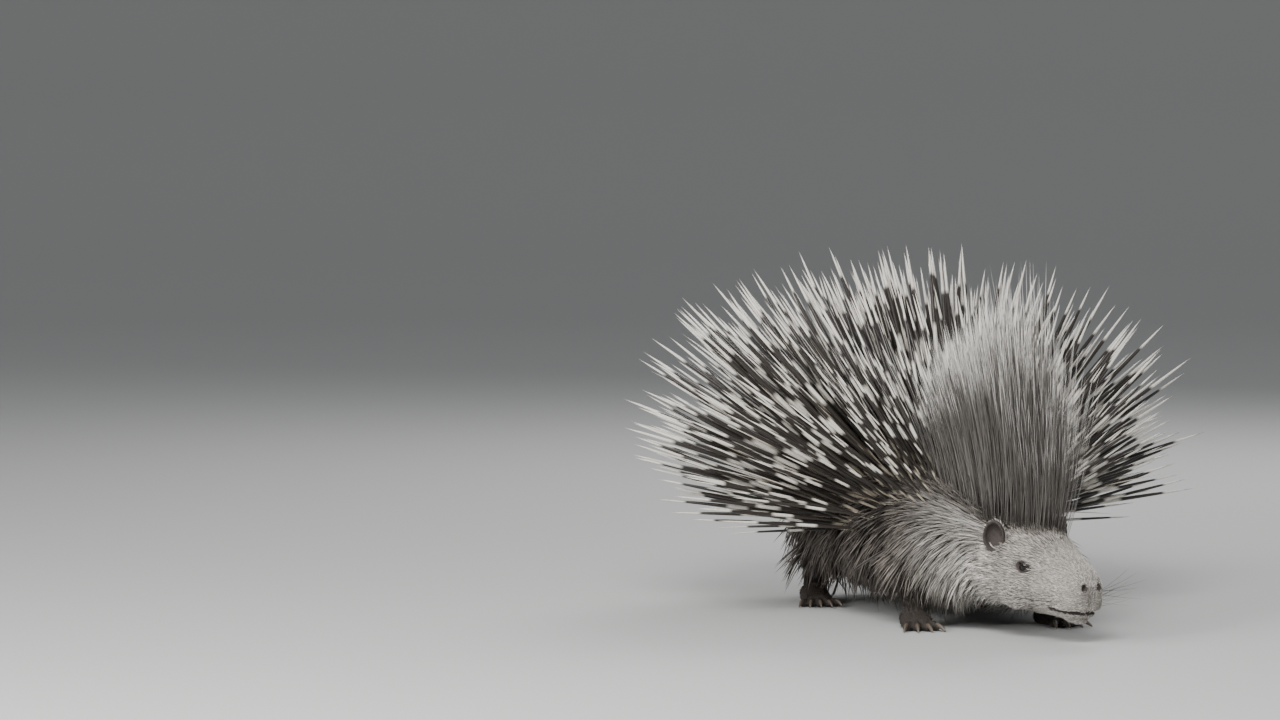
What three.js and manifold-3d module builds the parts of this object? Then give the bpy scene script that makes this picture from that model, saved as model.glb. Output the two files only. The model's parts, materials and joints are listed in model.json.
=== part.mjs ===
// A Cape porcupine, life size, as a still museum model: it stands low on four feet, with its head turned to
// its left and held near the floor, and with its quills and crest raised.
// Millimetres. +X is the way the body faces, +Y is its left side and +Z is up. The soles lie at z = 0.
import * as THREE from "three";
import { mergeVertices } from "three/addons/utils/BufferGeometryUtils.js";
import Module from "manifold-3d";

const wasm = await Module();
wasm.setup();

const GAP = 0.3; // left between pieces that meet
const FINE = 0.2; // faces that lie flatter than this are merged
const FORWARD = new THREE.Vector3(1, 0, 0);
const UP = new THREE.Vector3(0, 0, 1);
const { degToRad, lerp, smoothstep } = THREE.MathUtils;
const vec = (x, y, z) => new THREE.Vector3(x, y, z);

// The trunk, from the end of the rump to the nape. Each section has its centre, and then its half width,
// its rise above the centre and its drop below it.
const TRUNK = [
  { at: [-322, 0, 130], size: [24, 22, 22] },
  { at: [-303, 0, 131], size: [58, 49, 50] },
  { at: [-264, 0, 133], size: [92, 74, 72] },
  { at: [-205, 0, 135], size: [117, 91, 84] },
  { at: [-135, 0, 135], size: [127, 96, 86] },
  { at: [-55, 0, 131], size: [124, 93, 83] },
  { at: [25, 0, 125], size: [112, 86, 77] },
  { at: [95, 0, 116], size: [93, 78, 68] },
  { at: [150, 3, 104], size: [74, 69, 60] },
  { at: [192, 8, 94], size: [61, 61, 54] },
];
const RUMP_END = -328;

// The head, in a frame of its own: its origin lies between the ears, and each section is so far along the
// skull from there towards the nose.
const HEAD = { at: vec(228, 15, 86), turn: degToRad(12), nod: degToRad(13) };
const SKULL = [
  { along: -4, size: [54, 56, 50] },
  { along: 22, size: [50, 55, 49] },
  { along: 46, size: [42, 51, 46] },
  { along: 70, size: [35, 45, 41] },
  { along: 94, size: [31, 39, 38] },
  { along: 112, size: [29, 33, 35] },
  { along: 124, size: [24, 27, 29] },
  { along: 131, size: [16, 18, 20] },
];
const NOSE_TIP = 134;

const BODY_SIDES = 24; // points round the body
const RINGS_EACH = 2; // rings between one section of the body and the next
const ROUND = 2.3; // the power of the body's sections: 2 is an ellipse, and more is squarer

// The places along X where the neck meets the torso and the head.
const SHOULDER_CUT = 98;
const NAPE_CUT = 204;

const EYE = { along: 45, side: 34, up: 14, radius: 8.3 };
const LID = { radius: 10.4, opening: [7.6, 9, 5.3], out: 9 };
const NOSTRIL = { along: 127, side: 10, up: 13, radii: [7, 3.2, 5] };
const MOUTH = { front: 134, corner: 86, height: -17, fall: degToRad(8), slit: 1.6, depth: 3 };
const CHIN = { at: [106, 0, -30], radii: [22, 15, 9] };
const SWELLINGS = [
  { at: [104, 15, -8], radii: [26, 17, 19] }, // whisker pad
  { at: [42, 29, 26], radii: [18, 9, 8] }, // brow
  { at: [24, 31, -14], radii: [42, 20, 31] }, // cheek
];
const EAR = {
  at: [-4, 50, 37],
  radii: [14, 8, 20],
  hollow: [11, 7.5, 16.5],
  hollowShift: [2, 6, 1],
  lean: degToRad(18),
  swing: degToRad(25),
};

// Each leg's line from inside the trunk down to its foot, for the left side, with half width, front and back.
const FORELEG = {
  line: [[76, 62, 126], [84, 78, 92], [96, 84, 58], [108, 84, 34], [110, 84, 20]],
  sizes: [[24, 30, 30], [22, 26, 28], [17, 18, 20], [14.5, 15, 16], [14.5, 15, 16]],
};
const HINDLEG = {
  line: [[-176, 72, 122], [-166, 92, 90], [-184, 101, 58], [-204, 101, 34], [-206, 101, 20]],
  sizes: [[34, 44, 44], [28, 38, 36], [19, 24, 22], [15.5, 16, 17], [15.5, 16, 17]],
};
const FOREFOOT = {
  heel: [92, 84],
  length: 52,
  sections: [[0, 11, 13], [0.22, 17, 19], [0.5, 19.5, 19], [0.78, 20, 13], [1, 18, 8]],
  toes: [-24, -8, 8, 24],
  toe: [13, 5.2, 6],
  claw: { length: 17, radius: 2.6 },
};
const HINDFOOT = {
  heel: [-226, 101],
  length: 74,
  sections: [[0, 12, 14], [0.2, 17, 19], [0.45, 19, 18], [0.75, 20.5, 13], [1, 18.5, 8]],
  toes: [-28, -14, 0, 14, 28],
  toe: [12, 4.8, 5.6],
  claw: { length: 13, radius: 2.3 },
};
const STANCE = {
  foreleg_right: { plan: FORELEG, foot: FOREFOOT, side: -1, step: 0, splay: degToRad(8) },
  foreleg_left: { plan: FORELEG, foot: FOREFOOT, side: 1, step: 14, splay: degToRad(10) },
  hindleg_right: { plan: HINDLEG, foot: HINDFOOT, side: -1, step: 8, splay: degToRad(12) },
  hindleg_left: { plan: HINDLEG, foot: HINDFOOT, side: 1, step: -8, splay: degToRad(12) },
};
const FOOT_CENTRE = 7; // height of the middle of a foot's sections
const SOLE_DROP = 10; // how far a section reaches below its centre before the sole is cut flat
const ANKLE_CUT = 29;

const TAIL = { root: vec(-296, 0, 152), rise: degToRad(34), length: 96, radius: 27, tipRadius: 13 };
const RATTLE = { count: 20, stalk: 1.2, cup: 3.3, wall: 0.9, depth: 14, length: [38, 56] };

// A frame on a line: its way ahead, its left and its own up, which leans towards a hint.
function frameOn(at, ahead, hint) {
  const left = hint.clone().cross(ahead).normalize();
  return { at, ahead, left, up: ahead.clone().cross(left) };
}

// A point of a section, at an angle from its top towards the left. Size holds half width, rise and drop.
function pointOf(frame, size, angle, power) {
  const bow = (v) => Math.sign(v) * Math.abs(v) ** (2 / power);
  const rise = Math.cos(angle) > 0 ? size.y : size.z;
  return frame.at
    .clone()
    .addScaledVector(frame.left, bow(Math.sin(angle)) * size.x)
    .addScaledVector(frame.up, bow(Math.cos(angle)) * rise);
}

function ringOf(frame, size, sides, power = 2) {
  const turnOf = (k) => (-2 * Math.PI * k) / sides;
  return Array.from({ length: sides }, (_, k) => pointOf(frame, size, turnOf(k), power));
}

// One closed skin over rings of equally many points, from a start point to an end point.
function loft(start, rings, end) {
  const sides = rings[0].length;
  const points = [start, ...rings.flat(), end];
  const id = (ring, k) => 1 + ring * sides + (k % sides);
  const faces = [];
  for (let k = 0; k < sides; k++) {
    faces.push(0, id(0, k + 1), id(0, k));
    for (let ring = 1; ring < rings.length; ring++) {
      faces.push(id(ring - 1, k), id(ring - 1, k + 1), id(ring, k));
      faces.push(id(ring - 1, k + 1), id(ring, k + 1), id(ring, k));
    }
    faces.push(points.length - 1, id(rings.length - 1, k), id(rings.length - 1, k + 1));
  }
  return new THREE.BufferGeometry().setFromPoints(points).setIndex(faces);
}

function solidOf(geometry) {
  const bare = geometry.clone();
  bare.deleteAttribute("normal");
  bare.deleteAttribute("uv");
  const merged = mergeVertices(bare);
  const vertProperties = merged.attributes.position.array;
  const triVerts = new Uint32Array(merged.index.array);
  return new wasm.Manifold(new wasm.Mesh({ numProp: 3, vertProperties, triVerts }));
}

function geometryOf(solid) {
  const mesh = solid.getMesh();
  const geometry = new THREE.BufferGeometry();
  geometry.setAttribute("position", new THREE.BufferAttribute(mesh.vertProperties, 3));
  geometry.setIndex(new THREE.BufferAttribute(mesh.triVerts, 1));
  geometry.computeVertexNormals();
  return geometry;
}

const union = (solids) => wasm.Manifold.union(solids);
const largest = (solid) => solid.decompose().reduce((a, b) => (a.volume() > b.volume() ? a : b));

// What lies ahead of a plane through a point, and what lies behind it, half the gap away from it.
function ahead(solid, at, direction) {
  return solid.trimByPlane(direction.toArray(), at.dot(direction) + GAP / 2);
}
function behind(solid, at, direction) {
  return ahead(solid, at, direction.clone().negate());
}

const beyond = (point, plane) => point.clone().sub(plane.at).dot(plane.ahead);

// A ball stretched along its three axes, turned and then put in place.
function ball(at, radii, turn = new THREE.Quaternion(), sides = 12) {
  const shape = new THREE.SphereGeometry(1, sides, Math.round(sides * 0.66));
  shape.scale(...radii).applyQuaternion(turn).translate(at.x, at.y, at.z);
  return solidOf(shape);
}

function block(at, size, turn) {
  const shape = new THREE.BoxGeometry(...size);
  return solidOf(shape.applyQuaternion(turn).translate(at.x, at.y, at.z));
}

const turnAbout = (axis, angle) => new THREE.Quaternion().setFromAxisAngle(axis, angle);
const LEFTWARD = vec(0, 1, 0);

// The skull's axes as they stand in the part, and a place measured along them.
const skullTurn = turnAbout(UP, HEAD.turn).multiply(turnAbout(LEFTWARD, HEAD.nod));
function onSkull(along, left, up) {
  return vec(along, left, up).applyQuaternion(skullTurn).add(HEAD.at);
}

// The body's middle line and the sizes of its sections, both read by one number from 0 to 1.
const sections = [
  ...TRUNK.map(({ at, size }) => ({ at: vec(...at), size: vec(...size) })),
  ...SKULL.map(({ along, size }) => ({ at: onSkull(along, 0, 0), size: vec(...size) })),
];
const middle = new THREE.CatmullRomCurve3(sections.map((s) => s.at));
const sizes = new THREE.CatmullRomCurve3(sections.map((s) => s.size));
const frameAt = (t) => frameOn(middle.getPoint(t), middle.getTangent(t), UP);
const onBody = (t, angle) => pointOf(frameAt(t), sizes.getPoint(t), angle, ROUND);

// The skin's outward direction, from two short steps on it.
function normalAt(t, angle) {
  const step = 0.004;
  const along = onBody(t + step, angle).sub(onBody(t - step, angle));
  const round = onBody(t, angle + 4 * step).sub(onBody(t, angle - 4 * step));
  return along.cross(round).normalize();
}

// The number of the place where the middle line passes a distance along X.
function lineAt(x) {
  let low = 0;
  let high = 1;
  for (let halving = 0; halving < 30; halving++) {
    const t = (low + high) / 2;
    if (middle.getPoint(t).x < x) low = t;
    else high = t;
  }
  return low;
}

function bodySkin(grow) {
  const more = vec(grow, grow, grow);
  const count = (sections.length - 1) * RINGS_EACH;
  const rings = Array.from({ length: count + 1 }, (_, k) =>
    ringOf(frameAt(k / count), sizes.getPoint(k / count).add(more), BODY_SIDES, ROUND),
  );
  const rump = vec(RUMP_END - grow, 0, TRUNK[0].at[2]);
  return solidOf(loft(rump, rings, onSkull(NOSE_TIP + grow, 0, -1)));
}

const shoulder = frameAt(lineAt(SHOULDER_CUT));
const nape = frameAt(lineAt(NAPE_CUT));
const body = bodySkin(0);
const bodyAndGap = bodySkin(GAP);

// Face
function lids(side) {
  const at = onSkull(EYE.along, side * EYE.side, EYE.up);
  return ball(at, [LID.radius, LID.radius, LID.radius], skullTurn, 14);
}

function eyeOpening(side) {
  const at = onSkull(EYE.along, side * (EYE.side + LID.out), EYE.up);
  return ball(at, LID.opening, skullTurn, 10);
}

function eyeball(side, radius) {
  return ball(onSkull(EYE.along, side * EYE.side, EYE.up), [radius, radius, radius], skullTurn, 14);
}

// The mouth's slit runs round the muzzle and is cut only as deep as the lips.
function mouth() {
  const reach = MOUTH.front - MOUTH.corner + 10;
  const turn = skullTurn.clone().multiply(turnAbout(LEFTWARD, -MOUTH.fall));
  const at = onSkull(MOUTH.corner + reach / 2, 0, MOUTH.height - 4);
  const slit = block(at, [reach, 90, MOUTH.slit], turn);
  const cleft = block(onSkull(MOUTH.front, 0, MOUTH.height + 8), [12, MOUTH.slit, 15], skullTurn);
  return union([slit, cleft]).subtract(bodySkin(-MOUTH.depth));
}

function head() {
  const added = [ball(onSkull(...CHIN.at), CHIN.radii, skullTurn)];
  const cut = [mouth()];
  for (const side of [-1, 1]) {
    added.push(lids(side));
    for (const { at: [along, left, up], radii } of SWELLINGS)
      added.push(ball(onSkull(along, side * left, up), radii, skullTurn));
    cut.push(eyeball(side, EYE.radius + GAP), eyeOpening(side));
    cut.push(ball(onSkull(NOSTRIL.along, side * NOSTRIL.side, NOSTRIL.up), NOSTRIL.radii, skullTurn, 8));
  }
  const skull = ahead(body, nape.at, nape.ahead);
  return union([skull, ...added]).subtract(union(cut));
}

// An ear is a thin cup that opens forwards and outwards, with its root on the side of the skull.
function earPose(side) {
  const turn = skullTurn
    .clone()
    .multiply(turnAbout(UP, side * -EAR.swing))
    .multiply(turnAbout(FORWARD, side * -EAR.lean));
  const [along, left, up] = EAR.at;
  return { at: onSkull(along, side * left, up), turn };
}

function ear(side) {
  const { at, turn } = earPose(side);
  const [along, left, up] = EAR.hollowShift;
  const hollowAt = vec(along, side * left, up).applyQuaternion(turn).add(at);
  return ball(at, EAR.radii, turn, 12).subtract(ball(hollowAt, EAR.hollow, turn, 12));
}

// Legs and feet
function limb({ plan, foot, side, step, splay }) {
  const line = new THREE.CatmullRomCurve3(plan.line.map(([x, y, z]) => vec(x + step, side * y, z)));
  const spans = new THREE.CatmullRomCurve3(plan.sizes.map((size) => vec(...size)));
  const count = plan.line.length * 2 - 3;
  const rings = [];
  for (let k = 0; k <= count; k++) {
    const frame = frameOn(line.getPoint(k / count), line.getTangent(k / count), FORWARD);
    rings.push(ringOf(frame, spans.getPoint(k / count), 12));
  }
  const leg = solidOf(loft(line.getPoint(0), rings, line.getPoint(1)));
  return union([leg, ...footPieces(foot, side, step, splay)]);
}

function footPieces(foot, side, step, splay) {
  const way = FORWARD.clone().applyAxisAngle(UP, side * splay);
  const heel = vec(foot.heel[0] + step, side * foot.heel[1], FOOT_CENTRE);
  const across = UP.clone().cross(way);
  const place = (along, left, up) =>
    heel.clone().addScaledVector(way, along).addScaledVector(across, left).setZ(up);
  const rings = foot.sections.map(([share, wide, rise]) =>
    ringOf(frameOn(place(share * foot.length, 0, FOOT_CENTRE), way, UP), vec(wide, rise, SOLE_DROP), 12, 2.3),
  );
  const start = place(-5, 0, FOOT_CENTRE);
  const end = place(foot.length + 3, 0, FOOT_CENTRE);
  const pieces = [solidOf(loft(start, rings, end))];
  const front = foot.sections.at(-1)[1];
  for (const degrees of foot.toes) {
    const spread = degToRad(degrees);
    const turn = turnAbout(UP, side * splay + spread);
    const direction = way.clone().applyAxisAngle(UP, spread);
    const left = front * 1.9 * Math.sin(spread);
    const root = place(foot.length - 4 + foot.toe[0] * 0.35 * Math.cos(3 * spread), left, foot.toe[2] * 0.8);
    pieces.push(ball(root.clone().addScaledVector(direction, 4), foot.toe, turn, 8));
    pieces.push(claw(root.addScaledVector(direction, foot.toe[0]), direction, foot.claw));
  }
  return pieces;
}

// A claw leaves the toe's end a little upwards, bends over and comes down to a point just above the floor.
function claw(at, direction, { length, radius }) {
  const along = (share, up) => at.clone().addScaledVector(direction, share * length).setZ(up);
  const points = [along(-0.35, 6.5), along(0.2, 7.4), along(0.62, 5.6), along(1, 1.4)];
  return stalk(points, [radius * 0.9, radius, radius * 0.7], [radius, radius * 1.2, radius * 0.8], 4, UP);
}

// A tapering stem on a line of points, which ends in a point. Its section has so many corners.
function stalk(points, widths, thicknesses, corners, hint) {
  const rings = widths.map((width, k) => {
    const direction = points[k + 1].clone().sub(points[Math.max(k - 1, 0)]).normalize();
    return ringOf(frameOn(points[k], direction, hint), vec(width, thicknesses[k], thicknesses[k]), corners);
  });
  return solidOf(loft(points[0], rings, points.at(-1)));
}

// Numbers in a set order from a seed, from 0 to 1.
function seeded(seed) {
  let state = seed;
  return () => {
    state = (state + 0x6d2b79f5) | 0;
    let mixed = Math.imul(state ^ (state >>> 15), 1 | state);
    mixed = (mixed + Math.imul(mixed ^ (mixed >>> 7), 61 | mixed)) ^ mixed;
    return ((mixed ^ (mixed >>> 14)) >>> 0) / 4294967296;
  };
}

// The shortest way between two straight pieces, each given by its two ends.
function nearest(a, b, c, d) {
  const u = b.clone().sub(a);
  const v = d.clone().sub(c);
  const w = a.clone().sub(c);
  const [uu, uv, vv, uw, vw] = [u.dot(u), u.dot(v), v.dot(v), u.dot(w), v.dot(w)];
  const spread = uu * vv - uv * uv;
  const clamp = (share) => Math.min(1, Math.max(0, share));
  let s = spread > 1e-9 ? clamp((uv * vw - vv * uw) / spread) : 0;
  const t = clamp((uv * s + vw) / vv);
  s = clamp((uv * t - uw) / uu);
  return w.addScaledVector(u, s).addScaledVector(v, -t).length();
}

// Every raised piece keeps clear of those before it: its line and radius are kept here.
const raised = [];
const CLEARANCE = 0.7;
function isClear(points, radius) {
  const middlePoint = points[Math.floor(points.length / 2)];
  const reach = points[0].distanceTo(points.at(-1));
  return raised.every((other) => {
    if (middlePoint.distanceTo(other.middle) > (reach + other.reach) / 2 + 30) return true;
    for (let j = 1; j < points.length; j++)
      for (let k = 1; k < other.points.length; k++) {
        const gap = nearest(points[j - 1], points[j], other.points[k - 1], other.points[k]);
        if (gap < radius + other.radius + CLEARANCE) return false;
      }
    return true;
  });
}
function keep(points, radius) {
  const reach = points[0].distanceTo(points.at(-1));
  raised.push({ points, radius, middle: points[Math.floor(points.length / 2)], reach });
}
for (const side of [-1, 1]) {
  const { at, turn } = earPose(side);
  const half = vec(0, 0, EAR.radii[2] - EAR.radii[0] / 2).applyQuaternion(turn);
  keep([at.clone().sub(half), at.clone().add(half)], EAR.radii[0]);
}
for (const { plan, side, step } of Object.values(STANCE))
  keep(plan.line.slice(1).map(([x, y, z]) => vec(x + step, side * y, z)), plan.sizes[1][1]);

// Quills. They grow from behind the shoulders to the end of the rump, over the back and down both flanks.
const QUILLS = {
  from: 82, // along X, where the first short quills stand behind the shoulders
  to: -306,
  spacing: 19.5,
  flank: degToRad(104), // how far down from the top of the back they grow
  radius: 3.1,
  longest: 250,
  sunk: 13,
  leanTop: degToRad(53),
  leanFlank: degToRad(20),
  tries: 12,
  slenderEvery: 17, // one in so many is a long slender spine
  slender: { stretch: 1.26, radius: 1.6 },
};

// How far along the quilled back a place is, from 0 at the shoulders to 1 at the end of the rump.
const backShare = (x) => (QUILLS.from - x) / (QUILLS.from - QUILLS.to);

// The quill that a place on the back has before chance varies it.
function quillAt(t, angle) {
  const root = onBody(t, angle);
  const normal = normalAt(t, angle);
  const share = backShare(middle.getPoint(t).x);
  const down = Math.abs(angle) / QUILLS.flank;
  const lean = lerp(QUILLS.leanTop, QUILLS.leanFlank, smoothstep(down, 0.1, 0.8)) * lerp(0.6, 1, share);
  const direction = normal
    .multiplyScalar(Math.cos(lean))
    .addScaledVector(FORWARD, -Math.sin(lean))
    .addScaledVector(UP, lerp(0.05, 0.34, smoothstep(down, 0.2, 1)))
    .normalize();
  const onset = lerp(0.42, 1, smoothstep(share, 0, 0.34));
  const ending = lerp(1, 0.62, smoothstep(share, 0.62, 1));
  const sides = lerp(1, 0.78, smoothstep(down, 0.7, 1));
  return { root, direction, share, down, length: QUILLS.longest * onset * ending * sides };
}

function placesOnBack() {
  const [from, to] = [lineAt(QUILLS.from), lineAt(QUILLS.to)];
  const rows = Math.round((QUILLS.from - QUILLS.to) / QUILLS.spacing);
  const places = [];
  for (let row = 0; row <= rows; row++) {
    const x = lerp(QUILLS.from, QUILLS.to, row / rows);
    const t = Math.max(to, Math.min(from, lineAt(x)));
    const size = sizes.getPoint(t);
    const girth = 2 * QUILLS.flank * ((size.x + size.y) / 2);
    const count = Math.max(5, Math.round(girth / QUILLS.spacing));
    for (let k = 0; k <= count; k++) {
      const share = (k + (row % 2) / 2) / count;
      if (share <= 1) places.push({ x, angle: lerp(-QUILLS.flank, QUILLS.flank, share) });
    }
  }
  return places;
}

function quills() {
  const random = seeded(11);
  const vary = (size) => (random() - 0.5) * 2 * size;
  const solids = [];
  for (const [index, place] of placesOnBack().entries()) {
    const slender = index % QUILLS.slenderEvery === 0;
    for (let attempt = 0; attempt < QUILLS.tries; attempt++) {
      const t = lineAt(place.x + vary(QUILLS.spacing * 0.3));
      const quill = quillAt(t, place.angle + vary(0.05));
      const direction = quill.direction.add(vec(vary(0.13), vary(0.13), vary(0.13))).normalize();
      const length = quill.length * (slender ? QUILLS.slender.stretch : 1 + vary(0.16));
      const bend = vec(vary(0.05), vary(0.05), -0.04).multiplyScalar(length);
      const along = (share) => quill.root.clone().addScaledVector(direction, share * length);
      const root = quill.root.clone().addScaledVector(direction, -QUILLS.sunk);
      const points = [root, along(0.55).addScaledVector(bend, 0.3), along(1).add(bend)];
      const stout = QUILLS.radius * lerp(0.62, 1, smoothstep(quill.share, 0.05, 0.4)) * (1 + vary(0.12));
      const radius = slender ? QUILLS.slender.radius : stout;
      if (!isClear(points, radius)) continue;
      keep(points, radius);
      const thickness = [radius * 0.8, radius];
      solids.push(stalk(points, thickness, thickness, 3, UP));
      break;
    }
  }
  return solids;
}

// Crest
const CREST = {
  from: 262, // along X, on the crown just behind the eyes
  to: 112,
  spacing: 15.5,
  spread: degToRad(42), // how far down from the top of the nape it grows
  longest: 325,
  width: 5.6,
  thickness: 1.2,
  sunk: 9,
  outward: 0.22, // how far the locks lean outwards against their rise
  leanCrown: -0.15, // and how far back, on the crown and at the shoulders
  leanNape: 0.4,
  curl: 0.1, // how much further back each piece of a lock leans
  bare: 9, // kept free of locks on both sides of a cut
  tries: 12,
};

function crestLocks() {
  const random = seeded(5);
  const vary = (size) => (random() - 0.5) * 2 * size;
  const locks = [];
  const rows = Math.round((CREST.from - CREST.to) / CREST.spacing);
  for (let row = 0; row <= rows; row++) {
    const share = row / rows;
    const x = lerp(CREST.from, CREST.to, share);
    const size = sizes.getPoint(lineAt(x));
    const spread = CREST.spread * lerp(0.62, 1, smoothstep(share, 0, 0.35));
    const count = Math.round((2 * spread * size.x) / CREST.spacing);
    for (let k = 0; k <= count; k++) {
      const angle = lerp(-spread, spread, (k + (row % 2) / 2) / (count + 0.5));
      for (let attempt = 0; attempt < CREST.tries; attempt++) {
        const lock = crestLock(x + vary(4), angle + vary(0.05), share, vary);
        const fromCuts = Math.min(Math.abs(beyond(lock.root, nape)), beyond(lock.root, shoulder));
        if (fromCuts < CREST.bare || !isClear(lock.points, CREST.width)) continue;
        keep(lock.points, CREST.width);
        locks.push(lock);
        break;
      }
    }
  }
  return locks;
}

function crestLock(x, angle, share, vary) {
  const t = lineAt(x);
  const root = onBody(t, angle);
  const frame = frameAt(t);
  const edge = Math.abs(angle) / CREST.spread;
  const along = lerp(0.48, 1, smoothstep(share, 0, 0.32)) * lerp(1, 0.58, share);
  const length = CREST.longest * along * lerp(1, 0.78, edge);
  const back = lerp(CREST.leanCrown, CREST.leanNape, share);
  const direction = normalAt(t, angle)
    .multiplyScalar(CREST.outward)
    .addScaledVector(UP, 1)
    .addScaledVector(frame.ahead, -back)
    .add(vec(vary(0.08), vary(0.08), 0))
    .normalize();
  const points = [root.clone().addScaledVector(direction, -CREST.sunk)];
  let at = root.clone();
  const pieces = [0.3, 0.36, 0.34];
  const grown = length * (1 + vary(0.14));
  for (const piece of pieces) {
    at = at.clone().addScaledVector(direction, piece * grown);
    points.push(at);
    direction.addScaledVector(frame.ahead, -CREST.curl).addScaledVector(UP, -0.04).normalize();
  }
  const turn = vary(1.2);
  const hint = FORWARD.clone().applyAxisAngle(UP, turn);
  const widths = [CREST.width * 0.6, CREST.width, CREST.width * 0.7];
  const thicknesses = [CREST.thickness, CREST.thickness * 1.2, CREST.thickness * 0.8];
  return { root, points, solid: stalk(points, widths, thicknesses, 4, hint) };
}

// Tail, with its rattle: hollow quills on thin stalks.
function tail() {
  const way = vec(-Math.cos(TAIL.rise), 0, Math.sin(TAIL.rise));
  const at = (share) => TAIL.root.clone().addScaledVector(way, share * TAIL.length);
  const rings = [0, 0.35, 0.7, 0.93].map((share) => {
    const radius = lerp(TAIL.radius, TAIL.tipRadius, share);
    return ringOf(frameOn(at(share), way, FORWARD), vec(radius, radius, radius), 14);
  });
  const rattle = rattles(at, way);
  keep([at(0), at(0.5)], TAIL.radius);
  keep([at(0.5), at(0.9)], (TAIL.radius + TAIL.tipRadius) / 2);
  return union([solidOf(loft(at(0), rings, at(1))), ...rattle]);
}

function rattles(at, way) {
  const random = seeded(3);
  const across = LEFTWARD.clone();
  const over = way.clone().cross(across);
  const solids = [];
  for (let k = 0; k < RATTLE.count; k++) {
    const turn = k * 2.4;
    const out = Math.sqrt((k + 0.5) / RATTLE.count);
    const side = across.clone().multiplyScalar(Math.cos(turn)).addScaledVector(over, Math.sin(turn));
    const direction = way.clone().addScaledVector(side, out * 0.75).normalize();
    const root = at(0.9 - out * 0.25).addScaledVector(side, out * TAIL.tipRadius * 0.55);
    const length = lerp(...RATTLE.length, random());
    const place = (share) => root.clone().addScaledVector(direction, share * length);
    const points = [place(0), place(0.45), place(0.62), place(1)];
    if (!isClear([place(0.15), place(1)], RATTLE.cup)) continue;
    keep([place(0.15), place(1)], RATTLE.cup);
    const radii = [RATTLE.stalk, RATTLE.stalk, RATTLE.cup, RATTLE.cup];
    const rings = points.map((point, j) =>
      ringOf(frameOn(point, direction, UP), vec(radii[j], radii[j], radii[j]), 6),
    );
    const lip = RATTLE.cup - RATTLE.wall;
    rings.push(ringOf(frameOn(place(1), direction, UP), vec(lip, lip, lip), 6));
    solids.push(solidOf(loft(place(0), rings, place(1).addScaledVector(direction, -RATTLE.depth))));
  }
  return solids;
}

// Putting the nodes together
const coat = {
  bristle: new THREE.MeshStandardMaterial({ color: 0x3a332e, roughness: 0.85 }),
  face: new THREE.MeshStandardMaterial({ color: 0x8a8076, roughness: 0.8 }),
  quill: new THREE.MeshStandardMaterial({ color: 0xcfc8ba, roughness: 0.5 }),
  skin: new THREE.MeshStandardMaterial({ color: 0x4a403a, roughness: 0.7 }),
  eye: new THREE.MeshStandardMaterial({ color: 0x0c0a09, roughness: 0.08 }),
};
const porcupine = new THREE.Group();
function add(name, solid, material) {
  const mesh = new THREE.Mesh(geometryOf(largest(solid).asOriginal().simplify(FINE)), material);
  mesh.name = name;
  porcupine.add(mesh);
}

const locks = crestLocks();
const headLocks = locks.filter(({ root }) => beyond(root, nape) > 0).map(({ solid }) => solid);
const neckLocks = locks.filter(({ root }) => beyond(root, nape) < 0).map(({ solid }) => solid);
const tailSolid = tail();
const torso = behind(body, shoulder.at, shoulder.ahead);
const neck = behind(ahead(body, shoulder.at, shoulder.ahead), nape.at, nape.ahead);
const legs = Object.entries(STANCE).map(([name, stance]) => [name, limb(stance)]);

add("torso", union([torso, ...quills()]), coat.quill);
add("neck", union([neck, ...neckLocks]), coat.bristle);
add("head", union([head(), ...headLocks]), coat.face);
add("tail", tailSolid.subtract(bodyAndGap), coat.quill);
for (const side of [-1, 1]) {
  const hand = side < 0 ? "right" : "left";
  add("eye_" + hand, eyeball(side, EYE.radius), coat.eye);
  add("ear_" + hand, ear(side).subtract(bodyAndGap), coat.skin);
}
for (const [name, whole] of legs) {
  const above = ahead(whole, vec(0, 0, ANKLE_CUT), UP).subtract(bodyAndGap);
  const below = behind(whole, vec(0, 0, ANKLE_CUT), UP).trimByPlane(UP.toArray(), 0);
  add(name, above, coat.bristle);
  add(name.replace("leg", "foot"), below, coat.skin);
}

// The origin goes to the floor below the middle of the whole animal.
const bounds = new THREE.Box3().setFromObject(porcupine);
const centre = bounds.getCenter(vec(0, 0, 0));
porcupine.position.set(-centre.x, -centre.y, 0);

export default porcupine;
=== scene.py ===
"""An African porcupine, life size, as a still museum model: it stands low, with its head turned to its left
and held near the floor, and with its banded quills and its crest raised. Metres, in the part's own frame."""
import json
from math import cos, pi, radians, sin

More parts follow.
